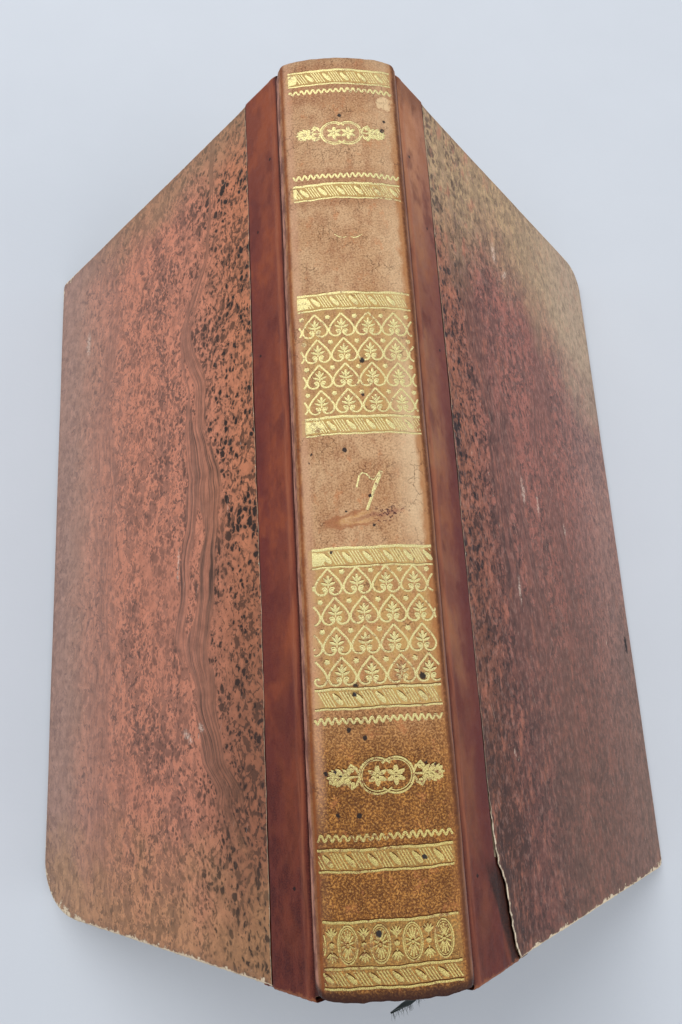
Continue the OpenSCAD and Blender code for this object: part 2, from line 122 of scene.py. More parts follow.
class Mat:
    """Material with one Principled shader, and short names for the nodes that feed it."""

    def __init__(self, name, **sockets):
        self.m = bpy.data.materials.new(name)
        self.m.use_nodes = True
        self.t = self.m.node_tree
        self.t.nodes.clear()
        out = self.t.nodes.new("ShaderNodeOutputMaterial")
        self.b = self.t.nodes.new("ShaderNodeBsdfPrincipled")
        self.t.links.new(self.b.outputs[0], out.inputs[0])
        self.shade(**sockets)

    def put(self, sock, v):
        """Link a node's output to the socket, or set its plain value."""
        if isinstance(v, Val):
            self.t.links.new(v.socket, sock)
        elif v is not None:
            sock.default_value = v

    def shade(self, **sockets):
        """Set sockets of the shader. Returns the material."""
        for k, v in sockets.items():
            self.put(self.b.inputs[k.replace("_", " ")], v)
        return self.m

    def node(self, kind, inputs, out=0, **props):
        """Output of a new node whose properties and inputs are set."""
        n = self.t.nodes.new("ShaderNode" + kind)
        for k, v in props.items():
            setattr(n, k, v)
        for k, v in inputs.items():
            self.put(n.inputs[k], v)
        return Val(self, n.outputs[out])

    def vec(self, name="co"):
        return self.node("Attribute", {}, "Vector", attribute_name=name)

    def fac(self, name):
        return self.node("Attribute", {}, "Fac", attribute_name=name)

    def obj(self):
        return self.node("TexCoord", {}, "Object")

    def map(self, v, scale=(1, 1, 1), loc=(0, 0, 0), rot=(0, 0, 0)):
        return self.node("Mapping", {"Vector": v, "Scale": scale, "Location": loc, "Rotation": rot})

    def noise(self, v, scale=1.0, detail=2.0, rough=0.5, dist=0.0, out="Fac"):
        return self.node("TexNoise", {"Vector": v, "Scale": scale, "Detail": detail, "Roughness": rough,
                                      "Distortion": dist}, out)

    def vor(self, v, feature="F1", out="Distance"):
        return self.node("TexVoronoi", {"Vector": v, "Scale": 1.0}, out, feature=feature)

    def math(self, op, a, b=None, clamp=False, out=0):
        """Maths node, of vectors where a is one."""
        if not (isinstance(a, Val) and a.vector):
            return self.node("Math", {0: a, 1: b}, operation=op, use_clamp=clamp)
        if op == "MULTIPLY":
            return self.node("VectorMath", {0: a, "Scale": b}, operation="SCALE")
        return self.node("VectorMath", {0: a, 1: b}, out, operation=op)

    def length(self, v):
        return self.math("LENGTH", v, out="Value")

    def step(self, v, a, b, lo=0.0, hi=1.0):
        """Smooth step from lo, where v is a, to hi, where v is b."""
        return self.node("MapRange", {"Value": v, "From Min": a, "From Max": b, "To Min": lo, "To Max": hi},
                         "Result", interpolation_type="SMOOTHSTEP")

    def between(self, v, a, b, soft):
        """1 where v lies between a and b."""
        return self.step(v, a - soft, a + soft) * self.step(v, b + soft, b - soft)

    def mix(self, f, a, b, mode="MIX"):
        """a with b over it at the strength f."""
        return self.node("Mix", {0: f, 6: a, 7: b}, 2, data_type="RGBA", blend_type=mode)

    def ramp(self, f, *stops):
        v = self.node("ValToRGB", {0: f})
        for e, (position, colour) in zip(v.socket.node.color_ramp.elements, stops):
            e.position, e.color = position, colour
        return v

    def sep(self, v):
        return [Val(self, s) for s in self.node("SeparateXYZ", {0: v}).socket.node.outputs]

    def comb(self, x, y, z=0.0):
        return self.node("CombineXYZ", {0: x, 1: y, 2: z})

    def bump(self, h, dist, strength=1.0):
        return self.node("Bump", {"Height": h, "Distance": dist, "Strength": strength})


# ---------------------------------------------------------------- mesh helpers
def make(name, verts, faces, mat, body=None, attrs=None, smooth=True):
    """Mesh object from corners in mm, riding on a body, with values per corner for its material."""
    me = bpy.data.meshes.new(name)
    me.from_pydata((np.asarray(verts, float).reshape(-1, 3) * MM).tolist(), [], faces)
    for k, v in (attrs or {}).items():
        v = np.asarray(v, np.float32)
        if v.ndim > 1:
            me.attributes.new(k, "FLOAT_VECTOR", "POINT").data.foreach_set("vector", v.ravel())
        else:
            me.attributes.new(k, "FLOAT", "POINT").data.foreach_set("value", v)
    me.materials.append(mat)
    me.polygons.foreach_set("use_smooth", [smooth] * len(me.polygons))
    me.update()
    ob = bpy.data.objects.new(name, me)
    bpy.context.scene.collection.objects.link(ob)
    if body:
        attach(ob, body)
    return ob


def grid_faces(nu, nv, start=0, flip=False):
    """Faces of a grid of nu rows of nv corners, numbered from start."""
    i, j = np.meshgrid(np.arange(nu - 1), np.arange(nv - 1), indexing="ij")
    a = start + i * nv + j
    q = np.stack([a, a + nv, a + nv + 1, a + 1], -1).reshape(-1, 4)
    return (q[:, ::-1] if flip else q).tolist()


def edge_ring(nu, nv):
    """Numbers of the corners round the edge of a grid."""
    return ([x * nv for x in range(nu)] + [(nu - 1) * nv + x for x in range(1, nv)]
            + [x * nv + nv - 1 for x in range(nu - 2, -1, -1)] + list(range(nv - 2, 0, -1)))


WAVE_PHASE = rng.uniform(0, 2 * math.pi, (64, 3))[:, 0]
WAVE_DIR = rng.normal(size=(64, 2))
WAVE_DIR /= np.linalg.norm(WAVE_DIR, axis=1)[:, None]


def wob(x, y, wl, seed=0, n=6):
    """Smooth noise between about -1 and 1 with wavelengths round wl mm."""
    r = np.zeros(np.broadcast(x, y).shape)
    for k in range(n):
        i = (seed * 7 + k * 5) % 64
        f = 2 * math.pi / (wl * (0.7 + 0.12 * k))
        r = r + np.sin((x * WAVE_DIR[i, 0] + y * WAVE_DIR[i, 1]) * f + WAVE_PHASE[i])
    return r / math.sqrt(n) / 1.2


def cover_xyz(side, u, y, z):
    """Point on a cover: u down from the crease, z outwards. side is 1 for the front, -1 for the back."""
    u, y, z = np.broadcast_arrays(u, y, z)
    return np.stack([side * (CX + u * ST + z * CT), y * 1.0, H - u * CT + z * ST], -1)


def spine_xyz(s, y, dr):
    """Point over the spine: broad curve, shoulders and straight sides. s runs round it from its middle."""
    s, y, dr = np.broadcast_arrays(s, y, dr)
    a, k = np.abs(s), np.sign(s)
    f = np.minimum(a, L_FIELD) / RS
    x = (RS + dr) * np.sin(f)
    z = AZ + (RS + dr) * np.cos(f)
    g = FA + np.clip(a - L_FIELD, 0, L_SH) / SH_R
    on = a > L_FIELD
    x = np.where(on, SH_X + (SH_R + dr) * np.sin(g), x)
    z = np.where(on, SH_Z + (SH_R + dr) * np.cos(g), z)
    d = np.clip(a - L_FIELD - L_SH, 0, None)
    return np.stack([k * (x + d * math.sin(LEAN)), y * 1.0, z - d * math.cos(LEAN)], -1)


def spine_h(s, y):
    """Unevenness of the leather over the spine."""
    return (0.12 * wob(s, y, 46, 1) + 0.05 * wob(s * 1.4, y, 13, 2)) * np.clip((L_ALL - np.abs(s)) / 3, 0, 1)


# ---------------------------------------------------------------- materials
def marbled(name, front):
    """Spotted marbled paper with streams of fine veins. co = (u, y, z) on the cover in mm."""
    K = (0.80, 0.82, 0.85) if front else (0.86, 0.88, 0.91)  # light on the cover
    c = lambda r, g, b: lit(K, r, g, b)
    M = Mat(name, Specular_IOR_Level=0.22)
    co = M.vec()
    u, y, z = M.sep(co)
    seed = 3.7 if front else 0.0
    flat = M.comb(u + z, y + z, seed)
    p = flat + M.noise(flat, 0.085, 2, 0.5, out="Color").swing(9.0)
    p = p + M.noise(flat, 0.42, 2, 0.6, out="Color").swing(2.2)
    fine = M.noise(flat, 1.3, 3.0, 0.6)
    wide = M.noise(M.map(flat, (0.050, 0.024, 1.0)), 1.0, 3, 0.55, 0.4)
    band = M.noise(M.map(flat, (0.085, 0.030, 1.0), (5, 2, 0)), 1.0, 3, 0.6, 0.6)

    def turned(a):
        """Coordinate along a line that makes the angle a with u."""
        return u * math.cos(a) + y * math.sin(a)

    def across(first, a, b, second, d, e, third):
        """Tone that changes from a to b and again from d to e on its way out from the crease."""
        return M.mix(M.step(u, d, e), M.mix(M.step(u, a, b), c(*first), c(*second)), c(*third))

    def over(a, b, k):
        """b laid over a with the cover k."""
        return a + k * (b - a)

    def track(pts):
        """Value that follows the points (y, value) down the cover by smooth steps."""
        out = pts[0][1]
        for (y0, a), (y1, b) in zip(pts, pts[1:]):
            out = out + (M.step(y, y0, y1, 0.0, b - a) if b > a else M.step(y, y0, y1) * (b - a))
        return out

    def stream(pts, widths, k):
        """Colours that ran together into hairlines, close at the waist and spread at the ends."""
        n = M.noise(M.comb(k, y * 0.035, seed), 1.0, 3, 0.5)
        uc = track(pts) + n.swing(9.0)
        w = track(widths)
        v = (u - uc) / w
        bend = M.noise(M.comb(v * 1.1, y * 0.04, k + 7.0), 1.0, 2, 0.5)
        v = v + bend.swing(0.7)
        lines = M.noise(M.comb(v * 9.0, y * 0.022, k), 1.0, 3.0, 0.72)
        rag = M.noise(M.comb(v * 2.0, y * 0.055, k + 3.0), 1.0, 3, 0.6)
        reach = abs(v) + rag.swing(1.2)
        hole = M.step(M.noise(M.comb(v * 1.3, y * 0.032, k + 11.0), 1.0, 2, 0.5), 0.60, 0.54)
        return M.step(reach, 1.05, 0.85) * hole, lines

    # spots, smaller flecks and soft clouds
    spots = M.noise(M.map(p, (0.62, 0.50, 1.0)), 1.0, 2.5, 0.56, 0.5)
    fleck = M.noise(M.map(p, (0.36, 0.17, 1.0), (9, 4, 0)), 1.0, 4, 0.66, 0.9)
    lim = u + M.noise(flat, 0.05, 3, 0.65).swing(54.0)
    near = M.step(lim, 48.0, 24.0)
    outer = M.step(u, 40.0, 125.0)
    soft = 0.022 + outer * 0.05
    th = 0.575 + wide.swing(0.34)
    if front:
        th = th - 0.018
    black = M.step(spots, th - 0.035, th + 0.035)
    haze = M.step(spots, th - 0.11, th + 0.03)
    tf = (0.495 if front else 0.52) + band.swing(0.36)
    cloud = M.step(fleck, tf - soft, tf + soft)
    far_th = th + 0.035
    dots = M.step(spots, far_th - soft * 1.3, far_th + soft)
    # round drops close to the leather, crowded in places
    q = flat + M.noise(flat, 0.16, 2, 0.5, out="Color").swing(4.0)
    q = q + M.noise(flat, 0.9, 2, 0.6, out="Color").swing(0.9)
    crowd = M.noise(M.map(flat, (0.13, 0.075, 1.0), (2, 6, 0)), 1.0, 3, 0.6)

    def drops(v, k, r0, r1, more):
        v = M.map(v, (k, k * 0.84, 1.0))
        d = M.vor(v)
        r = M.sep(M.vor(v, out="Color"))[0] ** 1.4 * r1
        r = r + r0 + crowd.swing(more)
        r = r + fine.swing(0.28)
        return r - d

    big = drops(q, 0.46, 0.13, 0.26, 1.5)
    tiny = drops(q + (31.0, 17.0, 0.0), 0.80, 0.06, 0.26, 1.1)
    black = largest(black * 0.55, M.step(big, -0.07, 0.07))
    black = largest(black, M.step(tiny, -0.1, 0.1) * 0.8)
    haze = largest(haze, M.step(big, -0.34, 0.04))
    if front:
        black = black * M.step(y - crowd.swing(90.0), -72.0, -30.0, 0.45, 1.0)
    d_near = largest(haze * 0.6, black)
    d_far = largest(cloud * (0.82 if front else 0.62), dots * 0.9)
    c_far = dots * (0.2 + cloud * 0.45)
    if not front:
        spot = largest(M.step(tiny, -0.2, 0.1), M.step(big, -0.22, 0.1) * 0.7)
        spot = spot * M.step(u, 104.0, 60.0, 0.15, 1.0)
        d_far = largest(d_far, spot * 0.9)
        c_far = largest(c_far, spot * 0.62)
    dark = over(d_far, d_near, near)
    core = over(c_far, black, near)
    if front:
        m1, l1 = stream([(84, 23.0), (63, 26.0), (46, 32.9), (22, 40.6), (0, 42.6), (-27, 45.5), (-53, 49.0),
                         (-80, 52.0), (-107, 54.0)],
                        [(90, 2.0), (60, 6.0), (30, 8.5), (0, 9.5), (-40, 13.0), (-107, 15.0)], 1.0)
        m2, l2 = stream([(70, 78.0), (20, 72.0), (-30, 80.0), (-70, 88.0), (-107, 84.0)],
                        [(80, 4.0), (20, 9.0), (-30, 6.0), (-107, 14.0)], 6.0)
    else:
        m1, l1 = stream([(90, 30.0), (74, 31.4), (49, 45.9), (30, 39.5), (2, 36.8), (-21, 39.7), (-34, 42.5),
                         (-48, 39.4), (-62, 33.2), (-71, 26.5), (-82, 22.5), (-107, 20.5)],
                        [(92, 1.2), (60, 3.0), (30, 5.0), (0, 8.5), (-30, 9.0), (-50, 6.0), (-66, 5.0),
                         (-90, 10.0), (-107, 12.0)], 1.0)
        m2, l2 = stream([(80, 88.0), (40, 94.0), (0, 92.0), (-40, 93.0), (-75, 95.0), (-107, 88.0)],
                        [(90, 3.0), (30, 8.0), (-20, 6.0), (-60, 7.0), (-107, 5.0)], 6.0)
    m2 = m2 * (0.75 if front else 0.5)
    if front:
        m1, m2 = (m * M.step(y, -72.0, -12.0, 0.22, 1.0) for m in (m1, m2))
    else:
        m1 = m1 * M.step(y + fleck.swing(40.0), -88.0, -62.0, 0.08, 1.0)
    for m, l in ((m2, l2), (m1, l1)):
        dark = over(dark, M.step(l, 0.36, 0.62, *((0.48, 0.92) if front else (0.30, 0.95))), m)
        core = over(core, M.step(l, 0.54, 0.68, 0.0, 0.40 if front else 0.75), m)
    if front:
        base = across((174, 110, 84), 14.0, 40.0, (178, 113, 99), 76.0, 126.0, (190, 142, 128))
        ink = across((98, 67, 58), 14.0, 60.0, (120, 87, 80), 66.0, 122.0, (142, 112, 106))
        deep = across((44, 31, 32), 20.0, 60.0, (80, 56, 55), 66.0, 122.0, (116, 90, 86))
    else:
        base = across((208, 132, 95), 14.0, 44.0, (218, 142, 113), 66.0, 124.0, (200, 150, 130))
        ink = across((118, 84, 62), 14.0, 56.0, (144, 104, 90), 62.0, 122.0, (158, 124, 112))
        deep = across((52, 40, 34), 22.0, 60.0, (96, 68, 60), 62.0, 122.0, (132, 104, 96))
    col = M.mix(dark, base, ink)
    col = M.mix(core, col, deep)
    # brownish cloud where the colours mixed
    col = M.mix(M.step(wide, 0.52, 0.7) * ((1.0 - near) * 0.45), col, M.mix(0.5, ink, base))
    low = M.step(y, 10.0, -70.0) * M.step(u, 44.0, 20.0)
    col = M.mix(low * (0.36 if front else 0.46), col, c(64, 46, 40) if front else c(92, 64, 54))
    # the lower half is darker
    lowtone = M.step(y, 30.0, -95.0)
    col = M.mix(largest(lowtone, 0.1) * 0.82 if front else lowtone * 0.12, col,
                M.mix(0.55, col, (0.02, 0.012, 0.01, 1)))
    fog = M.noise(M.comb(u * 0.05, y * 0.02, 2.0), 1.0, 4, 0.6)
    if front:
        line = y + largest(u - 70.0, 0.0) * 0.42
        line = line - M.step(abs(u - 52.0), 26.0, 6.0) * 9.0
        edge = line + M.noise(p, 0.06, 5, 0.65).swing(40.0)
        olive = M.step(edge, 50.0, 90.0)
        fade = M.mix(dark * 0.62, c(206, 176, 132), c(158, 130, 104))
        fade = M.mix(core * 0.65, fade, c(96, 76, 62))
        fade = M.mix(M.step(u, 60.0, 120.0), fade, c(202, 178, 148))
        col = M.mix(olive * 0.86, col, fade)
        dust = M.step(u, 98.0, 128.0) * M.step(fog, 0.35, 0.7)
        col = M.mix(dust * 0.4, col, c(150, 124, 112))
    else:
        gap = M.math("MINIMUM", 107.0 - y, (128.0 - u) * 0.62)
        gap = gap + M.noise(flat, 0.055, 4, 0.62).swing(26.0)
        dust = M.step(gap, 20.0, 3.0)
        faded = M.mix(dark * 0.7, c(176, 138, 104), c(124, 98, 78))
        faded = M.mix(M.step(u, 70.0, 124.0), faded, M.mix(dark * 0.7, c(176, 142, 128), c(132, 104, 98)))
        col = M.mix(dust * 0.72, col, faded)
        dust = M.step(y + M.noise(flat, 0.055, 4, 0.62).swing(44.0), -72.0, -106.0)
        col = M.mix(dust * 0.62, col, M.mix(largest(dark * 0.7, core), c(198, 150, 104), c(84, 64, 48)))
    # soft tone changes, rubbed spots and fine scratches
    tone = M.noise(flat, 0.3, 4, 0.65)
    veil = M.ramp(tone, (0.3, lin(176, 176, 176)), (0.7, lin(255, 255, 255)))
    col = M.mix(0.6, col, M.mix(1.0, col, veil, "MULTIPLY"))
    if front:
        fibre = M.noise(M.comb(turned(0.1) * 0.95, turned(1.67) * 0.42, seed + 4.0), 1.0, 4, 0.72)
        blot = M.noise(M.comb(u * 0.3, y * 0.15, seed + 7.0), 1.0, 4, 0.70)
        col = M.mix(M.step(blot, 0.54, 0.66) * M.step(u, 64.0, 30.0, 0.25, 0.62), col, c(58, 43, 42))
        col = M.mix(M.step(blot, 0.46, 0.34) * M.step(u, 64.0, 30.0, 0.18, 0.5), col, c(186, 116, 92))
        col = M.mix(M.step(fibre, 0.5, 0.62) * 0.34, col, c(70, 50, 46))
        col = M.mix(M.step(fibre, 0.48, 0.36) * 0.25, col, c(190, 146, 132))
        col = M.mix(lowtone * M.step(u, 30.0, 70.0) * 0.3, col, c(116, 90, 72))
    grain = M.noise(flat, 2.4, 3, 0.6)
    col = M.mix(M.step(grain, 0.5, 0.66) * 0.16, col, c(60, 40, 36))
    rub = M.noise(M.comb(u * 0.34, y * 0.13, 9.0 + seed), 1.0, 6, 0.78)
    rubbed = M.step(rub, 0.655, 0.72)
    col = M.mix(rubbed * 0.7, col, c(214, 188, 170))
    scr = M.noise(M.comb(turned(0.35) * 2.2, turned(1.92) * 0.07, seed), 1.0, 3, 0.6)
    col = M.mix(M.step(scr, 0.7, 0.74) * 0.5, col, c(206, 178, 160))
    # single scuffs down to the paper's pale core: place (u, y), half sizes and turn
    marks = {True: [(56.8, 73.8, 2.6, 1.0, 0.7), (50.5, 78.4, 1.6, 3.4, 0.0), (52.0, 4.0, 1.2, 4.4, 0.1),
                    (61.4, 1.3, 0.8, 3.6, -0.1), (80.1, -3.3, 0.9, 2.0, 0.2), (42.5, -25.0, 0.8, 4.0, 0.0)],
             False: [(45.1, -57.1, 2.6, 1.1, 0.5), (39.1, -55.1, 1.5, 0.9, 0.6), (49.3, -13.3, 0.7, 4.6, 0.1),
                     (106.2, 73.6, 1.6, 5.0, 0.0)]}[front]
    jag = M.noise(flat, 0.8, 4, 0.75, out="Color").swing(3.4)
    worn = []
    for a, b, ra, rb, turn in marks:
        d = M.map(M.comb(u, y, 0.0) + jag - (a, b, seed), (1, 1, 0), (0, 0, 0), (0, 0, -turn))
        d = M.map(d, (1 / ra, 1 / rb, 0.0))
        worn.append(M.step(M.length(d), 1.25, 0.35))
    col = M.mix(largest(*worn) * M.step(fine, 0.4, 0.6, 0.08, 0.66), col, c(222, 198, 180))
    if front:
        chipd = M.map(M.comb(u, y, 0.0) + jag - (123.4, -36.7, seed), (0.8, 0.34, 0.0))
        col = M.mix(M.step(M.length(chipd), 1.3, 0.7), col, c(40, 32, 30))
    # wear at the edges: paper rubbed through to the pale board
    rim = M.fac("rim")
    wear = M.fac("wear")
    n1 = M.noise(co, 0.55, 5, 0.7)
    n2 = M.noise(co, 2.2, 3, 0.6)
    reach = wear * ((n1 - 0.36) * 9.0 + (n2 - 0.5))
    patchy = M.noise(M.comb(u * 0.16, y * 0.16, seed + 2.0), 1.0, 3, 0.7)
    reach = reach * M.step(patchy, 0.36, 0.6, 0.22, 1.15)
    bare = M.step(reach - rim, -0.15, 0.25)
    pale = M.mix(M.noise(co, 0.9, 3, 0.6), c(232, 216, 190), c(196, 170, 138))
    grubby = M.step(reach + 1.2 - rim, -1.0, 1.5)
    col = M.mix(grubby * 0.4, col, c(122, 92, 76))
    col = M.mix(bare, col, pale)
    # cut edge of the paper beside the leather
    lap = M.fac("lap")
    n3 = M.noise(M.comb(0.0, y * 0.35, 1.0), 1.0, 5, 0.75)
    chip = M.step(n3, 0.6, 0.7) * 0.75
    if front:
        chip = chip + M.step(y, -72.0, -84.0) * M.step(n3, 0.3, 0.55, 0.1, 1.0) * 0.75
    cut = M.step(0.1 + chip - lap, -0.06, 0.06)
    col = M.mix(cut * M.step(n3, 0.4, 0.6, 0.35, 1.0), col, c(224, 206, 176))
    rough = M.noise(flat, 0.8, 4, 0.6) * 0.25 + bare * 0.3
    fibre = M.noise(co, 3.0, 4, 0.7)
    hgt = fibre * 0.35 + (1.0 - bare) * 0.8
    hgt = hgt + M.noise(flat, 0.12, 3, 0.5) * 1.2
    return M.shade(Base_Color=col, Roughness=M.math("ADD", 0.42, rough, clamp=True), Normal=M.bump(hgt, 0.00012, 0.8))


KS = (0.92, 0.94, 0.97)  # light on the spine


def cs(r, g, b):
    """Base colour of the calf that shows as the given tone."""
    return lit(KS, r, g, b)


def calf_colour(M, co):
    """Colour of the calf over the spine. co = (s, y, z) in mm."""
    s, y, _ = M.sep(co)
    big = M.noise(co, 0.07, 4, 0.6)
    mid = M.noise(M.map(co, (1.0, 0.45, 1.0)), 0.42, 4, 0.65)
    g1 = M.noise(co, 2.3, 3, 0.7)
    g2 = M.noise(co, 5.0, 2, 0.6)
    g0 = M.noise(co, 1.1, 4, 0.7)
    # plain panels are pale, tooled ones browner
    col = M.mix(M.step(big, 0.35, 0.65), cs(206, 164, 122), cs(186, 138, 96))
    bands = ((7.7, 37.7), (-50.8, -21.7), (92.5, 104), (63.5, 73.5))
    tooled = largest(*(M.between(y, a, b, 1.2) for a, b in bands))
    col = M.mix(tooled * 0.6, col, cs(168, 116, 78))
    col = M.mix(M.step(mid, 0.44, 0.66) * 0.55, col, cs(160, 106, 70))
    # the tail third is browner and more orange, with a strong dark grain
    low = M.step(y + big.swing(26.0), -44.0, -66.0)
    half = M.step(y, 0.0, -50.0)
    col = M.mix(half * 0.35, col, cs(190, 134, 84))
    tone = M.mix(M.step(mid, 0.36, 0.62), cs(186, 122, 50), cs(138, 86, 28))
    col = M.mix(low * 0.92, col, tone)
    hold = 0.1 + low * 0.05
    dark = M.step(g1 * 0.8 + g0 * 0.2, 0.6 - hold, 0.68 - hold)
    col = M.mix(dark * (0.42 + low * 0.38), col, cs(84, 46, 22))
    rusty = M.noise(M.map(co, (0.8, 0.6, 1.0), (9, 4, 0)), 0.35, 4, 0.7)
    col = M.mix(M.step(rusty, 0.56, 0.68) * 0.5, col, cs(196, 122, 74))
    col = M.mix(M.step(g1, 0.46, 0.34) * 0.42, col, M.mix(low, cs(230, 192, 150), cs(222, 172, 104)))
    col = M.mix(M.step(g2, 0.54, 0.66) * 0.28, col, M.mix(low, cs(236, 196, 148), cs(226, 174, 104)))
    # thin remains of gold between the lines of the rolls
    bands = [(r - HALF_ROPE, r + HALF_ROPE) for r in ROPES] + [(-103.5, -92.1)]
    film = largest(*(M.between(y, a, b, 0.3) for a, b in bands))
    film = film * M.step(abs(s), 13.4, 13.0) * M.step(y, -92.0, -60.0, 0.42, 1.0)
    col = M.mix(film * M.step(g0, 0.38, 0.64, 0.4, 0.86), col, cs(204, 170, 98))
    haze = largest(M.between(y, 10.0, 36.3, 0.5), M.between(y, -48.8, -23.7, 0.5))
    haze = haze * M.step(abs(s), 13.4, 12.8)
    col = M.mix(haze * M.step(mid, 0.34, 0.66, 0.62, 0.12), col, cs(206, 166, 96))
    peel = M.comb(s, y, 0.0) + M.noise(co, 0.6, 4, 0.7, out="Color").swing(3.6) - (11.2, 93.0, 0.0)
    peel = M.length(M.map(peel, (0.46, 0.52, 0.0)))
    col = M.mix(M.step(peel, 1.5, 1.1) * 0.7, col, cs(150, 92, 56))
    col = M.mix(M.step(peel, 1.1, 0.8) * 0.85, col, cs(232, 198, 150))
    # painted highlight: the right part of the plain panels is paler; the shoulders are dark
    rb = s + mid.swing(3.0)
    brownish = M.step(rb, 11.6, 13.2) * M.step(y, 104.0, 60.0, 0.45, 0.8) * M.step(y, -62.0, -40.0, 0.35, 1.0)
    pale = M.step(s, 4.5, 11.5) * M.step(y, -30.0, -10.0) * M.step(y, 36.0, 10.0, 0.45, 1.0)
    col = M.mix(pale * 0.58, col, cs(230, 200, 160))
    col = M.mix(brownish, col, cs(172, 112, 64))
    a = abs(s + g0.swing(0.5))
    # painted shade: on the right side the shoulder, wall and line take darker copies of their colours
    right_side_shaded = M.step(s, -1.0, 1.0)
    sh = M.step(a, 13.3, 14.1)
    rosy = M.step(s, -11.0, -13.0) * M.step(s, -14.6, -13.6) * M.step(y, -78.0, -66.0, 0.15, 1.0)
    col = M.mix(rosy * 0.5, col, cs(206, 156, 124))
    shc = M.mix(right_side_shaded, cs(176, 116, 70), cs(168, 108, 62))
    shc = M.mix(low * 0.5, shc, cs(126, 76, 44))
    col = M.mix(sh * 0.85, col, M.mix(M.step(mid, 0.4, 0.6), shc, cs(128, 76, 50)))
    wall = M.step(a, 15.2, 16.4)
    col = M.mix(wall, col, M.mix(M.step(mid, 0.4, 0.62), M.mix(right_side_shaded, cs(196, 138, 114), cs(150, 106, 88)),
                                 cs(126, 80, 66)))
    line = M.step(abs(a - 14.4), 0.55 + right_side_shaded * 0.55, 0.1) * M.step(g0, 0.3, 0.52, 0.35, 1.0)
    col = M.mix(line * 0.85, col, M.mix(right_side_shaded, cs(140, 76, 36), cs(96, 54, 28)))
    # painted shade where the leather's edges sink into the creases
    edge = M.step(a, L_ALL - 1.0, L_ALL - 0.3)
    col = M.mix(edge, col, cs(52, 28, 24))
    # darker at the two ends, most at the tail
    end = M.step(abs(y) + M.noise(co, 0.35, 4, 0.65).swing(5.0), 102.6, 106.2)
    tail = M.step(y, 0.0, -10.0)
    col = M.mix(end * (0.22 + tail * 0.66), col, cs(66, 38, 26))
    # painted shade along the turned-in tail cap
    cap = M.step(y + g0.swing(3.0), -103.6, -105.0)
    col = M.mix(cap * 0.72, col, cs(58, 34, 22))
    return col, g1, g2


def spots_mask(M, co, pts):
    """Dark ink or burn spots at given places."""
    p = co + M.noise(co, 1.3, 2, 0.6, out="Color").swing(0.9)
    far = [M.math("DISTANCE", p, (x, y, 0), out="Value") for x, y, _ in pts]
    return largest(*(M.step(d, r * 1.15, r * 0.7) for d, (_, _, r) in zip(far, pts)))


# dark spots on the spine: place (s, y) and radius
SPOTS = [(1.2, 23.3, 0.7), (0.9, 15, 0.45), (-4, 2.3, 0.62), (0.9, -8.5, 0.42), (-4.5, -11.7, 0.36),
         (1.3, -15, 0.36), (-8.1, -20.4, 0.4), (-12.1, -0.2, 0.25), (-4.6, -48.3, 0.55), (-5, -50, 0.5),
         (10.8, 87.6, 0.5), (10.1, 84.8, 0.7), (-3, -94.3, 0.7), (-6.5, -57, 0.55), (-3.4, -58.6, 0.5),
         (-9.6, -73, 0.4), (-5.4, -73.2, 0.5), (6.9, -81.4, 0.5), (9.4, -47, 0.8), (-11.4, 1.8, 0.35),
         (-0.3, 88.6, 0.5), (-11.6, -65.1, 0.5), (-9.7, -64.8, 0.4), (-8.7, -65.7, 0.34),
         (8.6, -64.0, 0.34), (10.6, -64.4, 0.4)]


def spine_material():
    """Calf of the spine with its scar, spots and cracks."""
    M = Mat("calf_spine", Specular_IOR_Level=0.3)
    co = M.vec()
    col, g1, g2 = calf_colour(M, co)
    # rubbed scar in the number panel: brown rim, orange inside on its left, dark specks on its right
    wv = M.noise(co, 0.5, 4, 0.65, out="Color").swing(2.4)
    q = M.map(co + wv - (-0.4, -13.2, 0.0), (1, 1, 1), (0, 0, 0), (0, 0, -0.15))
    qs, qy, _ = M.sep(M.map(q, (0.112, 0.56, 1.0)))
    rr = qs * qs + qy * qy
    left = M.step(qs, 0.35, -0.15)
    rimm = M.step(abs(rr - 0.72), 0.5, 0.12) * left
    col = M.mix(M.step(rr, 0.7, 0.3) * left * M.step(g1, 0.35, 0.6, 0.15, 0.5), col, cs(222, 166, 100))
    col = M.mix(rimm * M.step(g1, 0.35, 0.6, 0.75, 0.45), col, cs(156, 86, 46))
    tear = M.step(abs(qy + qs * -0.15), 0.42, 0.10)
    tear = tear * (M.step(qs, -0.6, -0.1) * M.step(qs, 1.15, 0.7))
    col = M.mix(tear * 0.5, col, cs(140, 82, 66))
    sp = M.noise(co, 1.15, 3, 0.65)
    zone = M.step(rr, 1.9, 0.5) * M.step(qs, -0.25, 0.45)
    speck = M.step(sp + zone * 0.13, 0.645, 0.70)
    col = M.mix(speck * zone * 0.9, col, cs(74, 42, 42))
    f = spots_mask(M, co, SPOTS)
    col = M.mix(f * 0.95, col, lin(28, 20, 18))
    # rubbing along the leather's raised parts and small cracks
    crack = M.vor(M.map(co, (0.5, 0.35, 1)) + M.noise(co, 0.6, 3, 0.6, out="Color") * 1.2, "DISTANCE_TO_EDGE")
    cr = M.step(crack, 0.035, 0.0) * M.step(M.noise(co, 0.12, 3, 0.6), 0.5, 0.62)
    col = M.mix(cr * 0.6, col, lin(96, 50, 30))
    M.shade(Base_Color=col, Roughness=0.36 + g1 * 0.34)
    h = g1 * 0.7 + g2 * 0.4
    h = h - cr * 0.5
    h = h + M.noise(co, 0.25, 3, 0.6) * 1.5
    return M.shade(Normal=M.bump(h, 0.00022, 0.85))


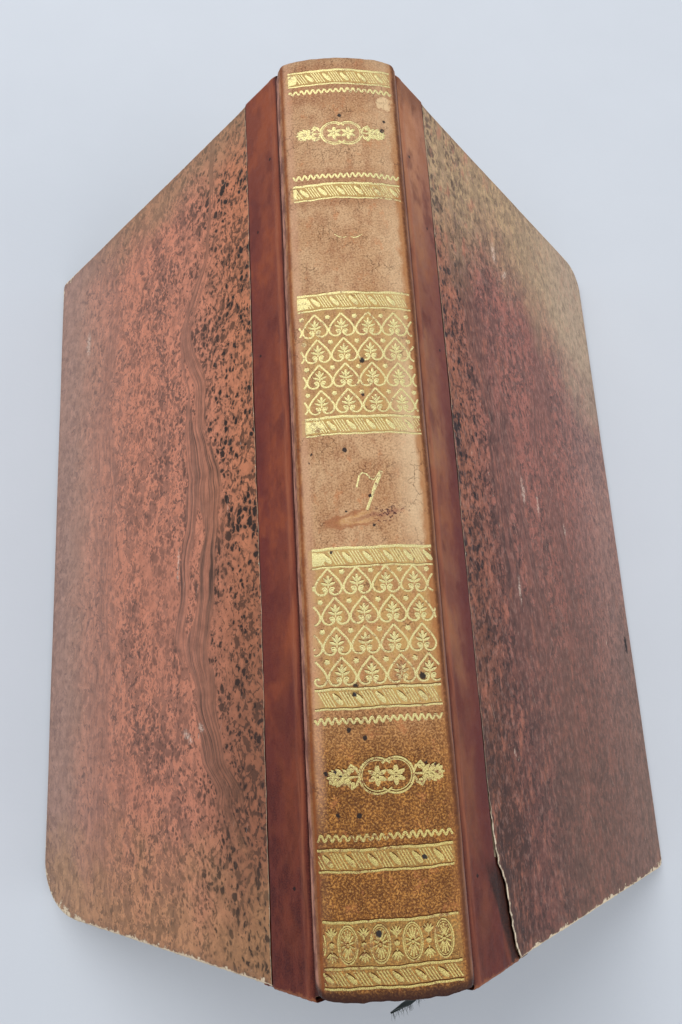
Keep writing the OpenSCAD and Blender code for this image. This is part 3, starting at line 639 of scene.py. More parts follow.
def side_leather_material(name, right):
    """Dark red-brown leather beside the creases. co = (u, y, z) in mm."""
    M = Mat(name, Specular_IOR_Level=0.22)
    K = (0.86, 1.05, 1.24)  # light on the strip
    c = lambda r, g, b: lit(K, r, g, b)
    co = M.vec()
    u, y, _ = M.sep(co)
    n = M.noise(M.map(co, (0.24, 0.085, 1)), 1.0, 5, 0.60)
    big = M.noise(co, 0.035, 3, 0.6)
    mot = M.noise(M.map(co, (0.9, 0.4, 1)), 0.35, 5, 0.65)
    if right:
        col = M.mix(M.step(n, 0.36, 0.64), c(156, 116, 88), c(134, 96, 82))
        outer, low = c(116, 66, 68), c(76, 38, 38)
        head = c(204, 158, 124)
    else:
        col = M.mix(M.step(n, 0.36, 0.64), c(140, 78, 54), c(118, 62, 50))
        outer, low = c(98, 44, 46), c(64, 30, 32)
        head = c(132, 76, 54)
    col = M.mix(M.step(big, 0.42, 0.62) * 0.55, col, c(108, 58, 52))
    wave = u + mot.swing(7.0)
    col = M.mix(M.step(wave, 4.0, 12.0) * 0.75, col, outer)
    col = M.mix(M.step(y, -10.0, -95.0) * 0.9, col, M.mix(M.step(mot, 0.40, 0.62), low, c(98, 50, 44)))
    col = M.mix(M.step(y, 44.0, 100.0) * (0.72 if right else 0.5), col, head)
    col = M.mix(M.step(mot, 0.54, 0.7) * 0.35, col, c(78, 40, 36))
    patches = M.noise(M.map(co, (0.085, 0.050, 1), (3, 8, 0)), 1.0, 4, 0.62)
    col = M.mix(M.step(patches, 0.52, 0.64) * 0.46 * M.step(y, -90.0, -20.0, 0.3, 1.0), col,
                c(160, 108, 74) if right else c(160, 90, 56))
    col = M.mix(M.step(patches, 0.47, 0.37) * 0.55, col, c(84, 40, 42))
    # pale line on the ridge beside the crease, partly wear and partly painted highlight
    ridge = M.step(u, 0.5, 1.4) * M.step(u, 3.0, 1.7)
    col = M.mix(ridge * M.step(M.noise(M.map(co, (1, 0.08, 1)), 0.8, 4, 0.7), 0.35, 0.65, 0.1, 0.55), col,
                c(168, 110, 84))
    if right:
        plum = M.step(wave, 5.5, 11.5) * (M.step(y, -92.0, -70.0) * M.step(y, 40.0, -10.0, 0.35, 1.0))
        col = M.mix(plum * 0.7, col, c(84, 38, 44))
        # painted shadow: near-black band on the leather beside the torn paper, where the lifted paper shades it
        torn = 13.6 + M.step(y, -84.0, -107.5) * 7.8
        shade = M.step(torn - u + mot.swing(2.5), 5.6, 3.8) * M.step(y, -83.0, -90.0)
        col = M.mix(shade * 0.95, col, c(20, 13, 14))
    if right:
        dirt = M.step(y + mot.swing(14.0), 96.0, 105.0) * 0.62
        col = M.mix(dirt, col, c(96, 62, 44))
    # painted shade: dark line in the crease
    crease = M.step(u, 0.75, 0.15)
    col = M.mix(crease, col, c(56, 30, 26))
    g = M.noise(co, 3.4, 3, 0.7)
    col = M.mix(M.step(g, 0.4, 0.6) * 0.3, col, M.mix(0.5, col, c(176, 104, 76)))
    col = M.mix(M.step(g, 0.55, 0.7) * 0.3, col, c(70, 32, 28))
    # scratches and scuffs
    sc = M.noise(M.map(co, (0.16, 0.9, 1), (0, 0, 0), (0, 0, 0.5)), 1.0, 7, 0.85)
    col = M.mix(M.step(sc, 0.66, 0.72) * 0.6, col, c(196, 150, 116))
    s2 = M.noise(M.map(co, (0.9, 0.30, 1), (0, 0, 0), (0, 0, 0.35)), 1.0, 5, 0.8)
    s3 = M.noise(co, 0.045, 2, 0.5)
    col = M.mix(M.step(s2 + s3.swing(0.22), 0.685, 0.74) * 0.65, col, c(204, 140, 108))
    f = spots_mask(M, co, [(10.0, 32.0, 0.4), (5.0, -87.5, 0.45), (9.5, 66.0, 0.35), (3.5, 84.0, 0.5)])
    col = M.mix(f * 0.9, col, c(30, 18, 16))
    # rubbed through at the ends of the joints
    rim = M.fac("rim")
    n1 = M.noise(co, 0.7, 5, 0.7)
    rub = M.step((n1 - 0.38) * 5.0 - rim, -0.3, 0.4)
    col = M.mix(rub * 0.75, col, c(150, 100, 70))
    M.shade(Base_Color=col, Roughness=0.38 + M.noise(co, 0.5, 4, 0.6) * 0.35)
    h = g + M.noise(co, 0.35, 3, 0.6) * 1.4
    return M.shade(Normal=M.bump(h, 0.00012, 0.7))


def gold_material():
    """Gold leaf, rubbed off in places down to the calf."""
    M = Mat("gold_leaf")
    co = M.vec()
    calf, g1, _ = calf_colour(M, co)
    n1 = M.noise(co, 0.9, 5, 0.7)
    n2 = M.noise(co, 6.0, 3, 0.7)
    _, y, _ = M.sep(co)
    bad = M.noise(co, 0.085, 3, 0.6)
    lost = n1 * 0.55 + n2 * 0.3 + bad * 0.35
    gone = M.step(lost + M.step(y, -40.0, -90.0) * 0.012, 0.63, 0.69)
    gold = M.mix(M.step(n2, 0.38, 0.62), lin(252, 242, 178), lin(208, 180, 104))
    gold = M.mix(M.step(y, -40.0, -80.0) * 0.75, gold,
                 M.mix(M.step(n2, 0.4, 0.6), lin(244, 222, 132), lin(160, 126, 54)))
    brown = M.mix(0.5, calf, lin(128, 78, 44))
    f = spots_mask(M, co, SPOTS)
    gone = largest(gone, f)
    col = M.mix(gone, gold, M.mix(f, brown, lin(28, 20, 18)))
    M.shade(Base_Color=col, Metallic=(1.0 - gone) * 0.55,
            Roughness=0.34 + n1 * 0.25)
    return M.shade(Normal=M.bump(n2 + g1 * 0.5, 0.00010, 0.7))


def page_material(name):
    """Old rag paper: warm, foxed and darker towards its edges. co = (leaf, y, t)."""
    M = Mat(name, Roughness=0.85, Specular_IOR_Level=0.2)
    co = M.vec()
    leaf, y, t = M.sep(co)
    flat = M.comb(t * 124.0, y, leaf)
    n = M.noise(flat, 0.05, 4, 0.6)
    col = M.mix(M.step(n, 0.28, 0.72), lin(238, 218, 182), lin(228, 205, 165))
    rim = largest(M.step(abs(y), 88.0, 104.0), M.step(t, 0.88, 1.0))
    col = M.mix(rim * 0.5, col, lin(190, 150, 108))
    head = M.step(y, 102.5, 104.0)
    col = M.mix(head * 0.45, col, lin(120, 96, 70))
    fox = M.noise(flat, 0.22, 3, 0.55, 0.3)
    col = M.mix(M.step(fox, 0.66, 0.74) * 0.55, col, lin(160, 106, 58))
    fleck = M.noise(flat, 1.1, 2, 0.5)
    col = M.mix(M.step(fleck, 0.7, 0.76) * 0.4, col, lin(140, 98, 60))
    row = M.noise(M.comb(leaf * 0.9, 0.0, 0.0), 1.0, 1, 0.5)
    col = M.mix(0.35, col, M.ramp(row, (0.3, lin(176, 150, 108)), (0.7, lin(236, 224, 192))))
    return M.shade(Base_Color=col, Normal=M.bump(M.noise(flat, 1.6, 4, 0.6), 0.00008, 0.5))


def plain_paper(name, a, b, scale=60.0, turned_in=False):
    """Paper or board on the CAD pieces, in object space."""
    M = Mat(name, Roughness=0.85, Specular_IOR_Level=0.2)
    o = M.obj()
    n = M.noise(o, scale, 5, 0.65)
    col = M.mix(M.step(n, 0.28, 0.72), a, b)
    fox = M.noise(o, 210.0, 3, 0.6, 0.3)
    col = M.mix(M.step(fox, 0.65, 0.72) * 0.5, col, lin(150, 104, 62))
    _, y, z = M.sep(o)
    edge = largest(M.step(abs(y), 0.094, 0.104), M.step(z, 0.012, 0.003))
    col = M.mix(edge * 0.5, col, lin(150, 112, 74))
    h = M.noise(o, 1500.0, 3, 0.6)
    if turned_in:
        # the turned-in paper shows through along three edges
        wavy = M.noise(o, 30.0, 3, 0.6).swing(0.0024)
        ends = abs(y + wavy) - 0.0915
        fore = 0.0135 - (z + wavy)
        step_up = largest(ends, fore)
        line = M.step(abs(step_up), 0.0009, 0.0001)
        col = M.mix(line * 0.3, col, lin(150, 118, 82))
        h = h + M.step(step_up, -0.0004, 0.0004, 0.0, 3.0)
    return M.shade(Base_Color=col, Normal=M.bump(h, 0.0001, 0.5))


def thread_material(name, a, b, scale):
    """Twisted thread, in object space."""
    M = Mat(name, Roughness=0.6, Specular_IOR_Level=0.3)
    o = M.obj()
    w = M.node("TexWave", {"Vector": M.map(o, rot=(0.5, 0.4, 0.8)), "Scale": scale, "Distortion": 1.5}, "Fac")
    return M.shade(Base_Color=M.mix(w, a, b), Normal=M.bump(w, 0.0003, 0.8))


# ---------------------------------------------------------------- camera, floor and light
# the camera comes from a fit to the edges of the book in the photograph
FOCAL_PX, PICTURE_PX, SENSOR = 793.7, 1024, 36.0
CAM_PLACE = Vector((-15.49, -53.55, 171.37 + H)) * MM
CAM_TURNS = (("Z", 2.476), ("Y", 3.350), ("X", -14.226))
cam_data = bpy.data.cameras.new("camera")
cam = bpy.data.objects.new("camera", cam_data)
bpy.context.scene.collection.objects.link(cam)
cam_data.sensor_fit = "VERTICAL"
cam_data.sensor_height = SENSOR
cam_data.lens = FOCAL_PX / PICTURE_PX * SENSOR
cam_data.clip_start = 0.005
cam_data.clip_end = 20
turn_z, turn_y, turn_x = (Matrix.Rotation(math.radians(angle), 3, axis) for axis, angle in CAM_TURNS)
cam.matrix_world = Matrix.Translation(CAM_PLACE) @ (turn_z @ turn_y @ turn_x).transposed().to_4x4()
bpy.context.scene.camera = cam

bpy.context.scene.view_settings.view_transform = "Standard"
world = bpy.data.worlds.new("studio")
bpy.context.scene.world = world
world.use_nodes = True
world.node_tree.nodes["Background"].inputs[0].default_value = (0.80, 0.87, 0.98, 1)
world.node_tree.nodes["Background"].inputs[1].default_value = 0.62


def area(name, loc, aim, size, power, colour):
    """Rectangular lamp at loc, turned to aim."""
    d = bpy.data.lights.new(name, "AREA")
    d.shape = "RECTANGLE"
    d.size, d.size_y = size
    d.energy = power
    d.color = colour
    o = bpy.data.objects.new(name, d)
    o.location = loc
    o.rotation_euler = (Vector(aim) - Vector(loc)).to_track_quat("-Z", "Y").to_euler()
    bpy.context.scene.collection.objects.link(o)


area("window", (-0.35, 0.75, 1.05), (0, 0, 0.05), (1.1, 0.8), 9.0, (0.96, 0.98, 1.0))
area("fill", (0.9, -0.5, 0.9), (0, 0, 0.05), (0.9, 0.9), 4.0, (1.0, 0.98, 0.95))

paint = Mat("floor_paint", Roughness=0.9, Specular_IOR_Level=0.1)
fo = paint.obj()
paint.shade(Base_Color=paint.mix(paint.noise(fo, 30.0, 4, 0.6), lin(212, 214, 217), lin(217, 219, 222)),
            Normal=paint.bump(paint.noise(fo, 900.0, 3, 0.6), 0.0002, 0.15))
FLOOR = 2500.0
floor = make("table_floor", [(x * FLOOR, y * FLOOR, -0.05) for x, y in ((-1, -1), (1, -1), (1, 1), (-1, 1))],
             [(0, 1, 2, 3)], paint.m, smooth=False)

# ---------------------------------------------------------------- leather over the spine
calf = spine_material()
side_mats = {1: side_leather_material("calf_front", True), -1: side_leather_material("calf_back", False)}
gold_mat = gold_material()


def spine_leather():
    """Calf over the spine, turned in at head and tail."""
    L = L_ALL - 0.25
    # (y, depth) of the leather turned in over the tail cap; the head cap mirrors it
    prof = [(-96, -1.25), (-103.2, -1.3), (-105.0, -1.25), (-105.75, -0.95), (-106.05, -0.55), (-105.9, -0.2),
            (-105.3, 0.0)]
    ys = np.concatenate([[p[0] for p in prof], np.linspace(-104.6, 104.6, 330), [-p[0] for p in prof[::-1]]])
    dr = np.concatenate([[p[1] for p in prof], np.zeros(330), [p[1] for p in prof[::-1]]])
    f = np.linspace(-L_FIELD, L_FIELD, 52)
    w = np.concatenate([np.linspace(L_FIELD, L_FIELD + L_SH, 9)[1:], np.linspace(L_FIELD + L_SH, L, 9)[1:],
                        [L + 0.1]])
    ss = np.concatenate([-w[::-1], f, w])
    S, Y = np.meshgrid(ss, ys, indexing="ij")
    D = np.broadcast_to(dr, S.shape).copy() + spine_h(S, Y)
    a = np.abs(S)
    # edges sink into the creases
    D -= 0.35 * np.clip((a - (L - 1.0)) / 1.0, 0, 1) ** 2
    D[0, :] -= 0.6
    D[-1, :] -= 0.6
    # narrow groove along the shoulder
    D -= 0.10 * np.exp(-((a - 15.3) / 0.3) ** 2)
    end = np.clip((np.abs(Y) - 101) / 5, 0, 1)
    rag = np.where(Y < 0, 0.15, 0.10)
    Yj = Y + np.sign(Y) * end * (0.6 * wob(S, Y * 0, 7, 3) + 0.4 * wob(S, Y * 0, 2.6, 4)) * rag
    # the caps dip towards the creases
    Yj = Yj - np.sign(Y) * end * 1.5 * np.clip((a - 8) / (L - 8), 0, 1) ** 2
    P = spine_xyz(S, Yj, D)
    co = np.stack([S, Y, D * 0], -1)
    ob = make("spine_calf", P, grid_faces(len(ss), len(ys), flip=True), calf, "block", {"co": co})
    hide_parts("spine_leather")


spine_leather()


# ---------------------------------------------------------------- gold tooling
class Gold:
    """Corners (s, y, lift) and faces of the stamps."""

    def __init__(self):
        self.v, self.f = [], []

    def stroke(self, pts, w, lift=0.055, taper=False):
        """Line of the width w along pts, highest in its middle."""
        p = np.asarray(pts, float)
        # keep steps short so that the stroke follows the curve of the spine
        q = [p[0]]
        for a, b in zip(p[:-1], p[1:]):
            k = max(1, int(np.linalg.norm(b - a) / 0.9))
            q += [a + (b - a) * (i + 1) / k for i in range(k)]
        p = np.array(q)
        n = len(p)
        if n < 2:
            return
        t = np.gradient(p, axis=0)
        t /= np.linalg.norm(t, axis=1)[:, None] + 1e-9
        nn = np.stack([-t[:, 1], t[:, 0]], 1)
        ww = np.full(n, w / 2.0)
        if taper:
            ww *= np.clip(np.minimum(np.arange(n) + 0.6, n - 0.4 - np.arange(n)) / max(2.0, n * 0.3), 0.2, 1)
        base = len(self.v)
        for i in range(n):
            for k, l in ((-1, 0.0), (0, lift), (1, 0.0)):
                self.v.append((p[i, 0] + nn[i, 0] * ww[i] * k, p[i, 1] + nn[i, 1] * ww[i] * k, l))
        for i in range(n - 1):
            a = base + i * 3
            self.f += [(a, a + 3, a + 4, a + 1), (a + 1, a + 4, a + 5, a + 2)]

    def blob(self, pts, lift=0.07):
        """Filled outline with a bevelled rim."""
        p = np.asarray(pts, float)
        c = p.mean(0)
        base = len(self.v)
        self.v.append((c[0], c[1], lift))
        n = len(p)
        for k in (0.6, 1.0):
            for q in p:
                r = c + (q - c) * k
                self.v.append((r[0], r[1], lift if k < 1 else 0.0))
        for i in range(n):
            j = (i + 1) % n
            self.f.append((base, base + 1 + i, base + 1 + j))
            self.f.append((base + 1 + i, base + 1 + n + i, base + 1 + n + j, base + 1 + j))

    def dot(self, x, y, r, n=10):
        """Round stamp."""
        turns = [2 * math.pi * i / n for i in range(n)]
        self.blob([(x + r * math.cos(a), y + r * math.sin(a)) for a in turns])

    def leaf(self, x, y, ang, ln, w):
        """Pointed petal from (x, y) along ang."""
        c, s = math.cos(ang), math.sin(ang)
        pts = []
        for i in range(12):
            a = 2 * math.pi * i / 12
            px = ln / 2 + ln / 2 * math.cos(a)
            py = w / 2 * math.sin(a) * (1 - 0.25 * math.cos(a))
            pts.append((x + px * c - py * s, y + px * s + py * c))
        self.blob(pts)


G = Gold()
# (y, left, right) end of the tooled field, from tail to head
LIMITS = np.array([(-105, -13.9, 12.9), (-91, -13.7, 12.9), (-78, -14.2, 12.9), (-52, -13.2, 13.3),
                   (-22, -12.3, 13.7), (5, -12.35, 13.8), (38, -12.9, 13.5), (66, -12.6, 13.6),
                   (104, -12.6, 13.1)])


def field(y):
    """Left and right end of the tooled field at the height y."""
    return np.interp(y, LIMITS[:, 0], LIMITS[:, 1]), np.interp(y, LIMITS[:, 0], LIMITS[:, 2])


def clipped(pts, inset=0.0):
    """Pieces of a polyline that lie inside the tooled field."""
    out, cur = [], []
    for p in pts:
        a, b = field(p[1])
        if a + inset <= p[0] <= b - inset:
            cur.append(p)
        elif cur:
            out.append(cur)
            cur = []
    if cur:
        out.append(cur)
    return [c for c in out if len(c) > 1]


def fillet(y, w=0.5, seed=0):
    """Plain line across the spine."""
    xs = np.linspace(*field(y), 60)
    G.stroke([(x, y + 0.09 * math.sin(x * 0.5 + seed) + 0.05 * math.sin(x * 1.7 + seed * 2)) for x in xs], w)


def rope(y, h=3.95, seed=0, upper=True, film=0.0):
    """Roll of slanted lozenges and lines between fillets. film: width of a worn patch at its left end."""
    if upper:
        fillet(y + h / 2, 0.58, seed=seed)
    fillet(y - h / 2, 0.46, seed=seed + 1)
    F0, F1 = field(y)
    hh = (h - 0.95) / 2
    pitch = 4.38
    off = ((seed * 0.37) % 1.0) * pitch
    if film:
        G.blob([(F0, y - hh), (F0 + film * 0.7, y - hh * 0.9), (F0 + film, y - hh * 0.1),
                (F0 + film * 0.8, y + hh * 0.8), (F0, y + hh)])
    for k in range(-1, 8):
        cx = F0 + k * pitch + off - 0.6
        # leaf-shaped lozenge that leans to the left at its top
        pts = []
        for i in range(14):
            a = 2 * math.pi * i / 14
            px, py = 1.50 * math.cos(a), 0.62 * math.sin(a) * (1 + 0.10 * math.cos(a))
            pts.append((cx + 0.68 * px + 0.62 * py, y + (-0.76 * px + 0.66 * py) * hh / 1.48))
        if F0 + 0.7 < cx < F1 - 0.7:
            G.blob(pts)
        for d in (1.22, 1.84, 2.46, 3.08):
            x = cx + d
            ln = [(x - 0.80 + 1.6 * t, y + hh * 0.96 * (1 - 2 * t))
                  for t in (0, 0.17, 0.33, 0.5, 0.67, 0.83, 1)]
            for c in clipped(ln, 0.05):
                G.stroke(c, 0.25, 0.03)


def wave(y, seed=0, amp=0.54, periods=18, steps=12):
    """Zigzag roll."""
    pts = []
    F0, F1 = field(y)
    n = periods * steps
    for i in range(n + 1):
        th = 2 * math.pi * i / steps + seed
        x = F0 + (F1 - F0) * i / n
        v = math.tanh(1.7 * math.sin(th)) / math.tanh(1.7)
        tall = amp * v * (1 + 0.15 * math.sin(0.7 * x + seed))
        pts.append((x + 0.10 * math.sin(2 * th), y + tall + 0.08 * math.sin(x * 0.4)))
    G.stroke(pts, 0.46, 0.05)


def heart(cx, cy, w=5.9, h=5.6):
    """Outline with its point up, whose lobes curl inwards under a small palmette."""
    p = [(0.0, 0.53), (0.09, 0.42), (0.21, 0.28), (0.33, 0.14), (0.43, -0.02), (0.485, -0.16),
         (0.475, -0.29), (0.41, -0.40), (0.30, -0.46), (0.18, -0.46), (0.09, -0.40), (0.05, -0.31),
         (0.09, -0.22), (0.17, -0.21), (0.21, -0.27)]
    for k in (-1, 1):
        q = [(cx + k * a * w, cy + b * h) for a, b in smooth_line(p, 3)]
        for c in clipped(q):
            G.stroke(c, 0.44, 0.045)
    F0, F1 = field(cy)
    if F0 + 1.9 < cx < F1 - 1.9:
        b = cy - h * 0.12
        G.stroke([(cx, b - 0.55), (cx, b + 0.7)], 0.28, 0.04)
        for k in (-1, 1):
            G.dot(cx + k * w * 0.135, cy - h * 0.30, 0.42)
            G.leaf(cx + k * 0.15, b + 0.05, math.pi / 2 - k * 1.15, 1.55, 0.62)
            G.leaf(cx + k * 0.10, b + 0.55, math.pi / 2 - k * 0.62, 1.45, 0.55)
        G.leaf(cx, b + 0.65, math.pi / 2, 1.70, 0.66)


def smooth_line(p, k):
    """Catmull-Rom curve through the points."""
    p = [np.array(v, float) for v in p]
    q = [2 * p[0] - p[1]] + p + [2 * p[-1] - p[-2]]
    out = []
    for i in range(1, len(q) - 2):
        for j in range(k):
            t = j / k
            out.append(0.5 * (2 * q[i] + (q[i + 1] - q[i - 1]) * t
                              + (2 * q[i - 1] - 5 * q[i] + 4 * q[i + 1] - q[i + 2]) * t * t
                              + (3 * q[i] - q[i - 1] - 3 * q[i + 1] + q[i + 2]) * t ** 3))
    out.append(q[-2])
    return [tuple(v) for v in out]


def heart_panel(y, rows=4, pitch=6.2, slip=0.0, shift=(0, 0, 0, 0)):
    """Rows of hearts with a small flower between them. slip and shift move the rows sideways."""
    for r in range(rows):
        cy = y + (rows - 1) / 2 * pitch - r * pitch
        F0, F1 = field(cy)
        for c in range(-3, 4):
            cx = c * 6.05 + 3.4 - 6.05 + slip * (r - 1.5) + shift[r] + 0.10 * math.sin(r * 2.1 + c)
            if F0 - 2.8 < cx < F1 + 2.8:
                heart(cx, cy - 0.15)
            dx = cx + 3.02
            if F0 + 0.6 < dx < F1 - 0.6:
                petals = [(2 * math.pi * i / 12, 0.58 + 0.08 * math.cos(5 * (2 * math.pi * i / 12) + r))
                          for i in range(12)]
                G.blob([(dx + ra * math.cos(a), cy + pitch * 0.32 + ra * math.sin(a)) for a, ra in petals])


def arc(cx, cy, r, a0, a1, n, ry):
    """Points on an ellipse from the angle a0 to a1."""
    return [(cx + r * math.cos(a0 + (a1 - a0) * i / n), cy + ry * math.sin(a0 + (a1 - a0) * i / n))
            for i in range(n + 1)]


def fleuron(y, x0=0.0, q=1.0):
    """Two linked rings with rosettes, and scrolled leaves on both sides, q times its size."""
    first = len(G.v)
    gap = 0.74
    stem = ((0.0, 0.2), (0.5, 1.5), (1.5, 2.1), (2.2, 1.3), (1.6, 0.7))
    for k in (-1, 1):
        cx = x0 + k * 1.85
        a0, a1 = (gap, 2 * math.pi - gap) if k < 0 else (math.pi + gap, 3 * math.pi - gap)
        G.stroke(arc(cx, y, 3.60, a0, a1, 40, 3.40), 0.46)
        G.stroke(arc(cx, y, 3.12, a0 + 0.30, a1 - 0.30, 36, 2.92), 0.22, 0.03)
        for i in range(6):
            a = math.pi / 6 + i * math.pi / 3
            G.leaf(cx + 0.30 * math.cos(a), y + 0.30 * math.sin(a), a, 1.75, 1.05)
        G.dot(cx, y, 0.36)
        # scroll: stem with two curls and a bud at its tip
        sx = x0 + k * 5.5
        for v in (1, -1):
            G.stroke([(sx + k * a, y + v * b) for a, b in stem], 0.80, taper=True)
        G.stroke([(sx - k * 0.2, y), (sx + k * 5.4, y)], 0.62, taper=True)
        for v in (1, -1):
            G.dot(sx + k * 1.35, y + v * 1.35, 0.52)
        for d, ln in ((1.9, 1.7), (3.0, 1.9), (4.1, 1.6), (5.0, 1.2)):
            for v in (1, -1):
                G.leaf(sx + k * d, y + v * 0.1, v * (math.pi / 2 - k * 0.75), ln * 1.22, 1.10)
        G.leaf(sx + k * 5.0, y, 0 if k > 0 else math.pi, 1.5, 0.8)
    G.v[first:] = [(x0 + (v[0] - x0) * q, y + (v[1] - y) * q, *v[2:]) for v in G.v[first:]]


def palmettes(y, h=6.6):
    """Band of ovals with rays, and palmettes between them."""
    for c in range(-3, 3):
        cx = (c + 0.5) * 6.2 + 0.3
        for r, n, ry, w, lift in ((1.88, 44, h / 2, 0.28, 0.04), (1.55, 40, h / 2 - 0.42, 0.15, 0.03)):
            for cc in clipped(arc(cx, y, r, 0, 2 * math.pi, n, ry), 0.05):
                G.stroke(cc, w, lift)
        F0, F1 = field(y)
        if F0 + 1.8 < cx < F1 - 1.8:
            for i in range(14):
                a = 2 * math.pi * i / 14 + 0.2
                x1, y1 = 1.34 * math.cos(a), (h / 2 - 0.72) * math.sin(a)
                G.stroke([(cx + x1 * k, y + y1 * k) for k in (0.28, 0.66, 1.0)], 0.30, 0.035)
            G.dot(cx, y, 0.30)
        dx = cx + 3.1
        if F0 + 0.6 < dx < F1 - 0.6:
            G.dot(dx, y, 0.52)
            for k in (-1, 1):
                G.stroke([(dx, y + k * 0.9), (dx, y + k * 1.7)], 0.26, 0.03)
                for a in (-0.85, -0.42, 0.0, 0.42, 0.85):
                    G.leaf(dx, y + k * 1.35, k * math.pi / 2 + a, 1.85 - 0.35 * abs(a), 0.46)


for i, (yy, worn) in enumerate(zip(ROPES, (2.4, 0.9, 3.2, 4.4, 3.0, 0, 0))):
    rope(yy, seed=i + 1, film=worn)
for i, yy in enumerate(WAVES):
    wave(yy, seed=i * 1.3)
heart_panel(23.1, slip=0.2)
heart_panel(-35.95, slip=0.45, shift=(0.3, 0.9, 0.5, 0.9))
fleuron(83.7, -0.1, 0.93)
fleuron(-65.9, 0.5)
fillet(-92.1, 0.55, seed=3)
palmettes(-96.1)
fillet(-100.1, 0.5, seed=5)
rope(-101.8, 3.4, seed=9, upper=False)
# small double tilde above the number panel's field, as an ornament
for k in (-1, 1):
    G.stroke([(k * 0.3, 55.1), (k * 1.2, 54.7), (k * 2.2, 54.9), (k * 3.3, 55.7)], 0.34, 0.03, taper=True)
# volume number
G.stroke([(-1.85, -6.5), (-1.5, -5.2), (-1.15, -3.9), (-0.5, -3.2), (0.4, -3.5), (1.1, -4.5), (1.9, -4.9),
          (2.8, -4.0), (3.5, -3.0)], 0.40)
G.stroke([(3.8, -3.0), (3.2, -4.4), (2.5, -5.9), (1.8, -7.4), (1.2, -8.9), (0.6, -10.3), (0.1, -11.6)], 0.58)
G.stroke([(3.4, -3.3), (2.8, -4.7), (2.1, -6.1), (1.5, -7.6)], 0.45)

gv = np.array(G.v)
lift = gv[:, 2] + spine_h(gv[:, 0], gv[:, 1]) + 0.012
gp = spine_xyz(gv[:, 0], gv[:, 1], lift)
gold_co = {"co": gv * (1, 1, 0)}
gold = make("spine_gold", gp, G.f, gold_mat, "block", gold_co)
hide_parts("spine_gilding")
# painted shadow: dark line above each stamp, a copy of the stamps shifted a little towards the head and sunk under
# them, for the shade on the upper wall of each impression
mp = spine_xyz(gv[:, 0], gv[:, 1] + 0.15 + 0.05 * np.clip((-gv[:, 1] - 20) / 60, 0, 1), lift - 0.03)
marks = Mat("tool_shadow_painted", Roughness=0.8, Specular_IOR_Level=0.1)
cm, _, _ = calf_colour(marks, marks.vec())
# the painted shadow gets darker towards the tail
shadow_strength = marks.step(marks.sep(marks.vec())[1], 10.0, -70.0, 0.40, 0.85)
marks.shade(Base_Color=marks.mix(shadow_strength, cm, cs(70, 40, 18)))
make("tool_shadow_painted", mp, G.f, marks.m, "block", gold_co)


# ---------------------------------------------------------------- covers
def near(pts, loop):
    """Distance from each point to a polyline."""
    d = np.full(len(pts), 1e9)
    for a, b in zip(loop[:-1], loop[1:]):
        ab = b - a
        t = np.clip(((pts - a) @ ab) / max(ab @ ab, 1e-9), 0, 1)
        d = np.minimum(d, np.linalg.norm(pts - (a + t[:, None] * ab), axis=1))
    return d


def row_heights(Y, n, fine=0.12):
    """Rows from -Y to Y, close together near both ends."""
    k = np.array([0, fine, 2.5 * fine, 5 * fine, 8 * fine, 13 * fine])
    mid = np.linspace(-Y + 17 * fine, Y - 17 * fine, n)
    return np.concatenate([-Y + k, mid, Y - k[::-1]])


